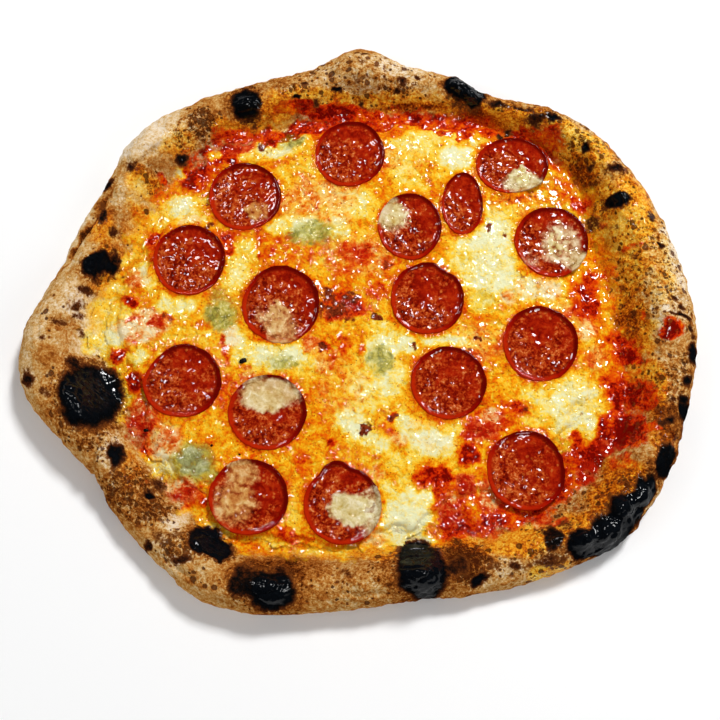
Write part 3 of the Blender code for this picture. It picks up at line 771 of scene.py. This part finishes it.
def leopard_spots(finish, thick, fine):
    """Browned speckle, freckles and burst bubbles with a dark edge, where they lie thick."""
    speckle = (0.34 * thick + finish.grain(1.5, 5, 0.5, 0.75) + 0.3 * fine).spread(0.2, 0.34)
    distance, own = finish.cells(2.4, (1.6, 1.6))
    freckle = (distance + 0.5 * fine).spread(0.2, 0.42, 1.0, 0.0) * (0.8 * thick - own).spread(-0.04, 0.08)
    distance, own = finish.cells(4.8, (2.4, 2.4))
    burst = (distance + 0.3 * fine).spread(0.26, 0.4, 1.0, 0.0) * distance.spread(0.05, 0.3, 0.8, 1.0)
    burst = burst * (0.8 * thick - own).spread(-0.02, 0.1)
    return speckle.largest(freckle).largest(burst)


def dough_paint(finish):
    """Baked dough with what was smeared on it, and painted shade on its shaded walls: its paint, and how
    wet and how black it is.
    """
    blotches = finish.grain(4, 3, 0.4)
    crumbs = finish.grain(1.3, 3, 0.0, 0.7)
    fine = finish.grain(0.55, 2)
    thick = finish.field("leopard")
    mottling = (0.7 + 0.7 * thick) * (1.2 * crumbs + fine)
    # browning, with painted shade at the foot of the shaded inner walls and along the fold at the left
    baked = finish.field("baked") + 0.3 * finish.grain(12, 2) + 0.5 * blotches + mottling
    plain = baked.ramp(
        (0.0, 234, 216, 190), (0.18, 220, 188, 140), (0.36, 200, 154, 88), (0.52, 180, 116, 48),
        (0.68, 146, 78, 24), (0.84, 98, 44, 12), (1.0, 48, 18, 5),
    )
    golden = baked.ramp(
        (0.0, 248, 218, 122), (0.22, 240, 188, 62), (0.42, 230, 150, 30), (0.60, 202, 102, 14),
        (0.78, 134, 50, 5), (1.0, 70, 12, 2),
    )
    oil = (finish.field("oil") + 0.8 * blotches).spread(0.15, 0.75)
    topping, _, wet_layers = topping_paint(finish)
    # the topping smeared on the dough; on the shaded inner walls it is painted shade
    smear = (finish.field("smear") + 0.9 * blotches + 0.7 * crumbs).spread(0.25, 0.8)
    colour = plain.painted(oil, golden).painted(smear, topping)
    spots = leopard_spots(finish, thick, fine) * smear.spread(0.3, 0.9, 1.0, 0.2)
    spot_colour = spots.ramp((0.2, 176, 102, 38), (0.6, 124, 58, 16), (1.0, 64, 26, 8))
    colour = colour.painted(spots.spread(0.0, 0.55, 0.0, 0.9), spot_colour)
    burnt = finish.field("char") + 0.6 * crumbs + 0.35 * blotches + 0.4 * fine + 0.3 * finish.field("sheen")
    toast = burnt.ramp(
        (0.1, 160, 92, 38), (0.28, 112, 58, 22), (0.48, 66, 31, 14), (0.64, 24, 16, 12), (0.78, 8, 9, 11),
        (1.0, 10, 13, 17),
    )
    colour = colour.painted(burnt.spread(0.06, 0.4), toast)
    black = burnt.spread(0.6, 0.8)
    colour = colour.painted(black * fine.spread(0.16, 0.26), linear(30, 30, 32))
    layers = ((blotches, 1.6), (crumbs, 1.0), (fine, 0.3), (spots * -1.0, 0.25))
    return (colour, layers, wet_layers), (0.5 * oil).largest(smear), black


def dough_finish():
    finish = Finish("baked_dough")
    paint, wet, black = dough_paint(finish)
    oily = wet * black.spread(0.0, 1.0, 0.45, 0.1)
    gloss = oily.largest(0.6 * black * finish.field("sheen"))
    return finish.coated(*paint, 0.85, gloss, black.spread(0.0, 1.0, 0.07, 0.09))


def sauce_finish():
    """Tomato with oil and cheese, thinning out to the dough's own colour at its margin."""
    finish = Finish("tomato_sauce")
    paint, wet, _ = dough_paint(finish)
    return finish.coated(*paint, 0.45, 0.8 * wet, 0.05)


def meat_paint(finish):
    """A salami slice: mottled middle, smooth edge, thin films of cheese, and painted light and shade; also
    its bumps.
    """
    share = finish.field("share")
    lit_side = finish.field("lit_side")
    broad = finish.grain(6, 2, 0.6)
    blotches, grains, fine = film_grains(finish)
    inside = (share + 0.12 * blotches).spread(0.82, 0.92, 1.0, 0.0)
    smooth = (0.5 + 0.8 * blotches + 0.5 * grains + 0.3 * fine).ramp(
        (0.2, 92, 6, 2), (0.42, 138, 18, 4), (0.58, 166, 34, 7), (0.8, 188, 66, 18))
    mottled = (0.5 + 0.8 * blotches + 1.2 * grains + 0.9 * fine).ramp(
        (0.15, 64, 5, 2), (0.4, 128, 20, 4), (0.58, 174, 56, 14), (0.75, 204, 100, 40),
        (0.95, 228, 156, 96),
    )
    # the mottling is partly the meat's fat and partly painted light, growing on the lower left
    mottling = (broad + 0.3 * lit_side + 0.3 * grains).spread(-0.04, 0.2)
    distance, own = finish.cells(2.4, (1.4, 1.4))
    orange = 0.8 * distance.spread(0.18, 0.42, 1.0, 0.0) * own.spread(0.74, 0.84)
    middle = smooth.painted(0.85 * mottling, mottled).painted(
        orange, (0.5 + grains).ramp((0.3, 176, 62, 14), (0.7, 206, 112, 48)))
    # painted light: the edge is brighter red on the lower left and deeper red on the upper right
    edge = (0.12 + 0.5 * blotches + 0.75 * lit_side).ramp(
        (0.1, 92, 5, 2), (0.35, 126, 8, 2), (0.6, 150, 15, 3), (0.9, 176, 36, 6))
    # painted shade: a dark line at the foot of the lip's inner wall
    groove = (share + 0.08 * blotches).near(0.87, 0.025) * broad.spread(-0.1, 0.15)
    film = (finish.field("film") + 1.1 * blotches + 0.9 * grains).spread(0.35, 1.15, 0.0, 0.8)
    colour = edge.painted(inside, middle).painted(0.65 * groove, linear(80, 6, 2))
    colour = colour.painted(film, film_colour(finish, blotches, grains, fine))
    lumpy = (broad + 0.24 * lit_side).spread(0.06, 0.28, 0.12, 1.0) * inside
    layers = ((blotches, 0.6), (grains * lumpy, 1.2), (fine, 0.2))
    wet_layers = ((finish.grain(5, 0.5, 0.6), 0.7), (finish.grain(1.8, 0.5, 0.8) * lumpy, 0.8))
    return colour, layers, wet_layers


def film_grains(finish):
    return finish.grain(2.6, 2, 0.6), finish.grain(1.1, 3, 0.4), finish.grain(0.5, 2)


def film_colour(finish, blotches, grains, fine):
    """Cheese that ran over a slice: pale green-white where its tint is 0, ochre where it is 1."""
    tone = 0.5 + 1.2 * blotches + 0.6 * grains + 0.3 * fine
    pale = tone.ramp(
        (0.05, 176, 122, 52), (0.25, 204, 182, 102), (0.5, 222, 212, 156), (0.85, 244, 240, 212))
    ochre = tone.ramp(
        (0.1, 142, 44, 8), (0.34, 180, 92, 22), (0.56, 206, 140, 56), (0.85, 234, 202, 134))
    return pale.painted(finish.field("tint"), ochre)


def salami_finish():
    finish = Finish("spicy_salami")
    oily = finish.field("share").spread(0.84, 0.92, 0.6, 0.18)
    return finish.coated(*meat_paint(finish), 0.5, oily, 0.04)


def flow_finish():
    """Melted cheese on a slice, with the slice's own colour showing where it lies thin."""
    finish = Finish("cheese_over_salami")
    meat, _, wet_layers = meat_paint(finish)
    blotches, grains, fine = film_grains(finish)
    thick = (finish.field("depth") + blotches + 0.4 * grains).spread(0.12, 0.8, 0.0, 0.9)
    colour = meat.painted(thick, film_colour(finish, blotches, grains, fine))
    layers = ((blotches, 0.6), (grains, 0.2), (fine, 0.1))
    return finish.coated(colour, layers, wet_layers, 0.45, 0.45, 0.05)


def blue_cheese_finish():
    """Blue cheese melted into the sheet: grey-green, and the sheet's own colour where it is thin."""
    finish = Finish("melted_blue_cheese")
    topping, layers, wet_layers = topping_paint(finish)
    blotches = finish.grain(3.2, 3, 0.8)
    grains = finish.grain(1.2, 2)
    thick = (finish.field("depth") + 1.8 * blotches + 0.6 * grains).spread(0.15, 1.0, 0.0, 0.85)
    mould = (0.5 + 1.5 * finish.grain(2.6, 3, 1.4) + 0.4 * grains).ramp(
        (0.1, 80, 86, 32), (0.34, 130, 127, 52), (0.5, 174, 162, 70), (0.66, 204, 194, 112),
        (0.9, 230, 224, 172),
    )
    greyer = (0.55 + 1.6 * blotches + 0.4 * grains).ramp(
        (0.1, 72, 82, 58), (0.4, 120, 128, 84), (0.6, 160, 164, 112), (0.9, 208, 208, 166))
    mould = mould.painted(finish.field("green").spread(0.72, 0.95), greyer)
    return finish.coated(topping.painted(thick, mould), layers, wet_layers, 0.45, 0.4, 0.06)


def soot_finish():
    finish = Finish("soot")
    grains = finish.grain(0.7, 2)
    colour = (0.5 + grains).ramp((0.3, 4, 4, 5), (0.8, 38, 30, 26))
    layers = ((grains, 0.4),)
    return finish.coated(colour, layers, layers, 0.6, 0.2, 0.08)


# ---------------------------------------------------------------- dough and sauce

CRUST_STEPS = 880
CRUST_STATIONS = (
    [(underside, k / 7) for k in range(8)]
    + [(under_edge, k / 10) for k in range(1, 11)]
    + [(outer_side, k / 26) for k in range(1, 27)]
    + [(inner_slope, k / 40) for k in range(1, 41)]
    + [(base_top, k / 3) for k in range(1, 4)]
)
BLISTER_SIZE = 3.6  # black spots with at least this half width are blisters with a browned halo
HALO_REACH = 2.1  # how far the browned speckle round a black blister reaches, as a share of the blister
SHRUNK = 0.9  # how far the crumpled skin of the big blisters lies below the solid's
PLAIN_TONE = 0.45  # how browned the dough is where no table says otherwise
SMEARED_TONE = 0.84
SMEAR_FADE = (-0.1, 0.65)  # shares of the inner slope between which the topping's smears fade out
CLEAR_OF_FLOOR = (0.4, 3.0)  # heights between which paint and relief set in above the flat underside


def start_tone(points):
    """The topping's tone before the strokes: the margin's outside, and orange cheese inside."""
    angle, radius = polar(points)
    outer = eased(-14, 2, radius - rim_sizes(angle)[2])
    return 0.5 + (ring_value(MARGIN_TONES, angle) - 0.5) * outer


def topping_fields(points):
    """The painted fields that the sauce, the cheese and the smears on the dough share."""
    place = ragged(ragged(flat(points), 2.6, 6, 11), 0.9, 1.8, 15)
    return {
        "tone": np.clip(brushed(place, start_tone(points), TOPPING_TONES, 0.65, 1.35), 0, 1),
        "green": strongest(place, GREEN, 0.5, 1.5),
        "pink": strongest(place, PINK, 0.5, 1.5),
        "scorch": strongest(place, SCORCH),
    }


def dough_fields(points):
    """The painted fields of the dough and of what was smeared on it, with painted shade on the shaded inner
    walls; none reach its underside.
    """
    place = ragged(ragged(points, 2.2, 8, 1), 0.8, 2.2, 5)
    angle, radius = polar(points)
    _, ridge, foot, _ = rim_sizes(angle)
    climb = (radius - foot) / (ridge - foot) + 0.3 * rough(flat(points), 9, 9, 2)
    free = eased(*CLEAR_OF_FLOOR, points[:, 2])
    red = strongest(place, DOUGH_RED, 0.45, 1.55)
    fields = topping_fields(points)
    # red above 1 darkens the tone: painted shade on the shaded inner walls, and deeper tomato at other
    # places
    fields["tone"] += (SMEARED_TONE + 0.5 * np.clip(red - 1, 0, 1) - fields["tone"]) * eased(0.1, 0.5, red)
    blisters = [row for row in CHAR if min(row[2:4]) >= BLISTER_SIZE]
    spots = [row for row in CHAR if min(row[2:4]) < BLISTER_SIZE]
    halo = strongest(place, blisters, 0.8, HALO_REACH) * free
    # browning from DOUGH_TONES, with its painted shade rows among it
    baked = brushed(place, PLAIN_TONE, DOUGH_TONES, 0.5, 1.5)
    fields.update(
        baked=PLAIN_TONE + (baked - PLAIN_TONE) * free + 0.2 * halo,
        oil=strongest(place, DOUGH_OIL, 0.5, 1.5) * free,
        char=np.maximum(strongest(place, blisters, 0.75, 1.4), strongest(place, spots, 0.2, 1.9)) * free,
        leopard=np.maximum(strongest(place, LEOPARD, 0.5, 1.5) * free, 0.9 * halo),
        sheen=strongest(place, SHEEN),
        smear=np.maximum(1 - eased(*SMEAR_FADE, climb), red) * free,
    )
    return fields


def dough_relief(points, fields, bubbles):
    """How far the dough's skin stands out from the plain form: lumps, bubbles, folds and creases."""
    char, sheen = fields["char"], fields["sheen"]
    lumps = 0.9 * rough(points, 12, 3, 2) + 0.55 * rough(points, 4, 4, 2)
    wrinkles = 1.5 * creased(points, 8, 5) ** 1.5 + 0.7 * creased(points, 4, 9)
    folds = sum(row[4] * oval(points, row, 0.4, 1.6) for row in FOLDS) * (points[:, 2] > BASE_TOP)
    flakes = 0.5 * eased(0.3, 0.8, char) * rough(points, 2.2, 6)
    creases = wrinkles * eased(0.4, 0.8, char) * (0.25 + 0.75 * sheen)
    relief = lumps * (1 - 0.5 * sheen) + folds + flakes + 0.8 * bubbles - creases - SHRUNK * sheen
    return relief * eased(*CLEAR_OF_FLOOR, points[:, 2])


def baked_crust():
    bm, angle, station = spun(len(CRUST_STATIONS), CRUST_STEPS)
    radius, z, share = (np.zeros(len(angle)) for _ in range(3))
    for index, (side, turn) in enumerate(CRUST_STATIONS):
        row = station == index
        radius[row], z[row], share[row] = side(angle[row], turn)
    points = laid(bm, raised(around(angle, radius, z), share), WELD)
    bmesh.ops.recalc_face_normals(bm, faces=bm.faces)
    bm.normal_update()
    normals = np.array([vert.normal for vert in bm.verts])
    fields = dough_fields(points)
    bubbly = eased(0.15, 0.7, fields["leopard"] + 0.4 * rough(points, 14, 8)) * (1 - fields["char"])
    bubbles = bubbled(points, 5.5, 7) * bubbly
    fields["baked"] += 0.22 * bubbles
    shaped = points + normals * dough_relief(points, fields, bubbles)[:, None]
    laid(bm, np.clip(shaped, *(np.array(corner) / MM for corner in CAD_BOX)))
    finished(bm, "baked_crust", dough_finish(), fields, ["crust"])


SAUCE_STEPS = 720
SAUCE_TOP_STATIONS = [0.0, 0.3, 0.55, 0.68] + list(np.linspace(0.74, 1.0, 44))
SAUCE_DEPTH = 1.5
SAUCE_CLIMB = 0.36  # share of the rim's inner slope that the sauce climbs, thinning out
SUNK = 1.4  # how far the thin margin of the sauce lies under the dough's skin


def sauce_layer():
    """The tomato sauce: lumpy, and thinning out unevenly until it dips under the dough's skin."""
    count = len(SAUCE_TOP_STATIONS)
    bm, angle, station = spun(2 * count - 1, SAUCE_STEPS)
    share = np.array(SAUCE_TOP_STATIONS + SAUCE_TOP_STATIONS[-2::-1])[station]
    _, ridge, foot, _ = rim_sizes(angle)
    margin = foot + SAUCE_CLIMB * (ridge - foot)
    points = around(angle, share * margin)
    points = lifted(points, dough_height(points))
    thin = 1 - eased(-4, 1, (share - 1) * margin / 3 + 1.2 * rough(flat(points), 7, 24))
    lumps = strongest(points, LUMPS) + 0.5 * rough(points, 4, 22, 2) + 0.35 * rough(points, 2, 23) + 0.3
    depth = (SAUCE_DEPTH + SUNK) * thin - SUNK + np.clip(lumps, -0.3, 3) * eased(0.05, 0.5, thin)
    depth = np.where(station < count, depth, np.minimum(depth - 0.3, 0.2))
    points = laid(bm, lifted(points, points[:, 2] + depth), WELD)
    finished(bm, "sauce_layer", sauce_finish(), dough_fields(points), ["tomato_sauce"])


# ---------------------------------------------------------------- slices and cheese

# A slice's upper side: how far out, as a share of its reach, and how far below its lip.
DISH = (
    (0, 0.6), (0.5, 0.58), (0.74, 0.5), (0.83, 0.44), (0.86, 0.42), (0.89, 0.3), (0.92, 0.14),
    (0.95, 0.03), (0.97, 0.04), (0.985, 0.2), (0.993, 0.45), (1.0, 0.95),
)
SALAMI_TOP = [k / 26 for k in range(21)] + [
    0.79, 0.81, 0.83, 0.85, 0.865, 0.88, 0.895, 0.91, 0.925, 0.94, 0.955, 0.97, 0.985, 0.993, 1.0]
SALAMI_STEPS = 120
SALAMI_RISE = 2.2  # how far above its seat a slice's outline is read from its solid
RAISED_LIP = 0.15  # how far the cupped lip stands above the solid's
CURL = 0.35  # how much higher the lip stands at the far right


class Slice:
    """One slice of salami, where its solid lies."""

    def __init__(self, number):
        self.number = number
        self.node = f"salami_{number:02d}"
        self.centre, self.reach = outline(self.node, SALAMI_RISE)
        self.seat, self.lip = (corner[2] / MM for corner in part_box(self.node))

    def height(self, points):
        """The height of the slice's upper side at every point over it."""
        angle, radius = polar(points, self.centre)
        share = np.minimum(radius / self.reach(angle), 1)
        sunk = np.interp(share, *zip(*DISH)) * (1 + 0.15 * np.cos(self.number * 2.4))
        wave = 0.35 * rough(around(angle, 1), 0.7, 50 + self.number) + CURL * np.cos(angle - radians(40))
        place = flat(points)
        lumps = 0.3 * rough(place, 2.4, 60 + self.number) + 0.4 * rough(place, 6, 80 + self.number)
        return (self.lip + RAISED_LIP * eased(0.7, 0.95, share) - sunk + wave * eased(0.4, 0.95, share)
                + lumps * (1 - eased(0.8, 0.92, share)))

    def fields(self, points):
        """What the finishes of the slice, and of the cheese on it, read: its parts, its painted lit side
        and its films.
        """
        angle, radius = polar(points, self.centre)
        share = radius / self.reach(angle)
        return {
            "share": share,
            # painted light: 1 on the slice's lower left, lit inside the cup, 0 on its upper right
            "lit_side": eased(-0.55, 0.75, -np.cos(angle - radians(45)) * share),
            "film": strongest(ragged(flat(points), 1.8, 5, 40), FILMS, 0.55, 1.45),
            "tint": np.full(len(points), FILM_TINTS.get(self.number, 0.5)),
        }

    def build(self, material):
        """A cupped slice with a rounded lip, a groove inside it and a lumpy middle."""
        count = len(SALAMI_TOP)
        bm, angle, station = spun(count + 3, SALAMI_STEPS)
        share = np.array(SALAMI_TOP + [0.99, 0.97, 0.0])[station]
        radius = share * self.reach(angle)
        top = self.height(around(angle, radius, centre=self.centre))
        z = np.where(station < count, top, self.seat + 0.8 * (station == count))
        jag = 1 + 0.014 * rough(around(angle, 1), 0.25, 90 + self.number, 2) * eased(0.3, 1, share)
        points = laid(bm, around(angle, jag * radius, z, self.centre), FINE_WELD)
        name = f"salami_slice_{self.number:02d}"
        finished(bm, name, material, self.fields(points), [self.node])


CHEESE_CELL = 0.8
CHEESE_HALF = 132  # half the width of the grid that the sheet is cut from
CHEESE_LEVEL = 8.2
UNDER_SLICES = 7.45
CHEESE_UNDERSIDE = 5.6
MENISCUS = 0.9  # how far the cheese and oil climb the edge of a slice
SHEET_EDGE = 0.2  # how far above the dough the sheet's thin edge lies, inside the sauce
HALO_TONE = 0.68  # the red oil round every slice
HALO_SHARE = 0.8


def room_to_margin(points):
    """How far inside the melted sheet's uneven edge every point lies."""
    angle, radius = polar(points)
    return ring_value(CHEESE_REACH, angle) + 3 - radius + 4.5 * rough(flat(points), 10, 31, 2)


def gap_to_slices(points, slices):
    """How far every point is from the edge of the nearest slice; below 0 under one."""
    gap = np.full(len(points), 99.0)
    for one in slices:
        angle, radius = polar(points, one.centre)
        gap = np.minimum(gap, radius - one.reach(angle))
    return gap


def sheet_level(points, gap):
    """The height of the melted sheet away from its margin."""
    place = flat(points)
    lumps = 0.38 * rough(place, 7, 32, 2) + 0.34 * rough(place, 2.6, 33) + 0.22 * rough(place, 1.5, 34)
    climb = MENISCUS * np.exp(-np.clip(gap, 0, 9) / 1.4)
    level = CHEESE_LEVEL + lumps + 0.6 * strongest(points, LUMPS) + climb
    return UNDER_SLICES + (level - UNDER_SLICES) * eased(-2.2, -0.6, gap)


def sheet_surface(points, slices):
    """The melted sheet's height, thinning out to the dough at its margin."""
    level = sheet_level(points, gap_to_slices(points, slices))
    edge = dough_height(points) + SHEET_EDGE
    return edge + (level - edge) * eased(-1, 7, room_to_margin(points))


def rims_of(bm):
    return [edge for edge in bm.edges if edge.is_boundary]


def melted_sheet(slices):
    """The mozzarella: a fine grid, cut to its uneven edge, dipping under the slices."""
    bm = bmesh.new()
    cells = int(2 * CHEESE_HALF / CHEESE_CELL)
    bmesh.ops.create_grid(bm, x_segments=cells, y_segments=cells, size=CHEESE_HALF * MM)
    outside = [vert for vert, room in zip(bm.verts, room_to_margin(points_of(bm))) if room < -1]
    bmesh.ops.delete(bm, geom=outside, context="VERTS")
    bmesh.ops.delete(bm, geom=[vert for vert in bm.verts if not vert.link_faces], context="VERTS")
    points = points_of(bm)
    laid(bm, lifted(points, np.maximum(sheet_surface(points, slices), CHEESE_UNDERSIDE + 0.05)))
    for item in bmesh.ops.extrude_edge_only(bm, edges=rims_of(bm))["geom"]:
        if isinstance(item, bmesh.types.BMVert):
            item.co.z = CHEESE_UNDERSIDE * MM
    bmesh.ops.holes_fill(bm, edges=rims_of(bm), sides=0)
    points = points_of(bm)
    fields = topping_fields(points)
    halo = HALO_SHARE * np.exp(-np.clip(gap_to_slices(points, slices) - 0.4, 0, 30) / 1.7)
    fields["tone"] += (HALO_TONE - fields["tone"]) * halo
    finished(bm, "melted_mozzarella", mozzarella_finish(), fields, ["mozzarella"])


PATCH_STATIONS = [k / 20 for k in range(21)]
PATCH_STEPS = 96
PATCH_RISE = 0.3  # how far above its seat a patch's outline is read from its solid
EVEN = (1.0,) * 8


def melted_patch(node, name, material, ground, thickness, paint, shares=EVEN, broken=0.5):
    """A low mound of melted cheese that follows what it lies on and thins out at a ragged edge."""
    centre, reach = outline(node, PATCH_RISE)
    count = len(PATCH_STATIONS)
    bm, angle, station = spun(count + 2, PATCH_STEPS)
    share = np.array(PATCH_STATIONS + [1.0, 0.0])[station]
    ring = around(angle, 1)
    seed = centre[0] + 2 * centre[1]
    jag = 1.1 + 0.14 * rough(ring, 0.6, seed) + 0.07 * rough(ring, 0.2, seed + 3, 2)
    points = around(angle, share * jag * reach(angle) * ring_value(shares, angle), centre=centre)
    uneven = 1 + 0.3 * rough(points, 3.5, seed, 2) + 0.12 * rough(points, 1.6, seed)
    mound = np.where(station < count, thickness * (1 - share**3) * uneven - 0.1, -0.5)
    points = laid(bm, lifted(points, ground(points) + mound), FINE_WELD)
    angle, radius = polar(points, centre)
    away = radius / reach(angle) / ring_value(shares, angle)
    holes = broken * rough(flat(points), 3.2, seed, 2) * (1 - eased(0.9, 1.1, away))
    body = (1.8 - broken) * (1 - (away / 1.05) ** 2)
    fields = paint(points) | {"depth": np.clip(body + holes, 0, 1)}
    finished(bm, name, material, fields, [node])


def blue_cheese(slices):
    material = blue_cheese_finish()
    for number in range(1, BLUE_CHEESE_COUNT + 1):
        melted_patch(
            f"blue_cheese_{number}", f"melted_blue_cheese_{number}", material,
            lambda points: sheet_surface(points, slices), 0.5, topping_fields,
        )


def cheese_on_slices(slices):
    material = flow_finish()
    for number, shares in CHEESE_FLOWS.items():
        one = slices[number - 1]
        melted_patch(
            f"cheese_flow_{number:02d}", f"cheese_over_slice_{number:02d}", material,
            one.height, 0.45, one.fields, shares, BROKEN.get(number, 0.9),
        )


def burnt_flecks():
    """Crumbs of soot on the topping."""
    bm = bmesh.new()
    for seed, (x, y, half_width, half_depth, height, turn) in enumerate(FLECKS):
        place = Matrix.LocRotScale(
            Vector((x, y, CHEESE_LEVEL + 0.2)), Matrix.Rotation(radians(turn), 3, "Z"),
            Vector((half_width, half_depth, height)),
        )
        for vert in bmesh.ops.create_icosphere(bm, subdivisions=3, radius=1)["verts"]:
            jag = 1 + 0.35 * noise.noise(vert.co * 1.6 + Vector((0, 0, 5 * seed)))
            vert.co = (place @ (vert.co * jag)) * MM
    finished(bm, "burnt_flecks", soot_finish(), {}, [])


# ---------------------------------------------------------------- floor, light and camera

# Square lamps: azimuth anticlockwise from +X and elevation, distance and size in metres, power.
LAMPS = {
    "key": (55, 52, 1.7, 0.28, 25.6),
    "fill_left": (200, 32, 1.6, 1.0, 8.0),
    "fill_right": (320, 32, 1.6, 1.0, 5.5),
}
# Lamps that only the oil mirrors.
GLINTS = {
    "glints_key": (55, 50, 1.7, 0.3, 16.0),
    "glints_far": (125, 58, 1.5, 0.2, 4.0),
    "glints_near": (310, 66, 1.5, 0.22, 6.0),
}
SKY_STRENGTH = 0.16
# The camera: its distance from what it faces and that point in metres, and its elevation.
VIEW_DISTANCE = 0.48
VIEW_AIM = (0.0005, -0.014, 0.008)
VIEW_ELEVATION = 77
VIEW_LENS = 47.43


def aimed(thing, azimuth, elevation, distance, aim=(0, 0, 0)):
    """Puts a lamp or the camera at a distance in metres from what it faces."""
    side, up = radians(azimuth), radians(elevation)
    back = Vector((cos(side) * cos(up), sin(side) * cos(up), sin(up)))
    thing.location = Vector(aim) + back * distance
    thing.rotation_euler = (-back).to_track_quat("-Z", "Y").to_euler()


def floor():
    bm = bmesh.new()
    bmesh.ops.create_grid(bm, x_segments=1, y_segments=1, size=3)
    finish = Finish("pale_floor")
    finish.wire(finish.inputs["Base Color"], (0.95, 0.95, 0.95, 1))
    finish.wire(finish.inputs["Roughness"], 1.0)
    meshed(bm, "floor", finish.material)


def softbox(name, azimuth, elevation, distance, size, power, only_glints):
    data = bpy.data.lights.new(name, "AREA")
    data.size = size
    data.energy = power
    lamp = placed(name, data)
    aimed(lamp, azimuth, elevation, distance)
    lamp.visible_glossy = only_glints
    lamp.visible_diffuse = not only_glints


def light():
    world = bpy.data.worlds.new("studio")
    world.use_nodes = True
    background = world.node_tree.nodes["Background"]
    background.inputs["Color"].default_value = (1.0, 1.0, 1.0, 1)
    background.inputs["Strength"].default_value = SKY_STRENGTH
    world.cycles_visibility.glossy = False
    scene = bpy.context.scene
    scene.world = world
    for lamps, only_glints in ((LAMPS, False), (GLINTS, True)):
        for name, row in lamps.items():
            softbox(name, *row, only_glints)
    scene.view_settings.view_transform = "Standard"
    scene.view_settings.look = "None"


def camera():
    data = bpy.data.cameras.new("camera")
    data.lens = VIEW_LENS
    data.sensor_width = 36
    data.clip_start = 0.01
    thing = placed("camera", data)
    aimed(thing, -90, VIEW_ELEVATION, VIEW_DISTANCE, VIEW_AIM)
    bpy.context.scene.camera = thing


def dress():
    slices = [Slice(number) for number in range(1, SALAMI_COUNT + 1)]
    baked_crust()
    sauce_layer()
    melted_sheet(slices)
    salami = salami_finish()
    for one in slices:
        one.build(salami)
    blue_cheese(slices)
    cheese_on_slices(slices)
    burnt_flecks()
    floor()
    light()
    camera()


dress()
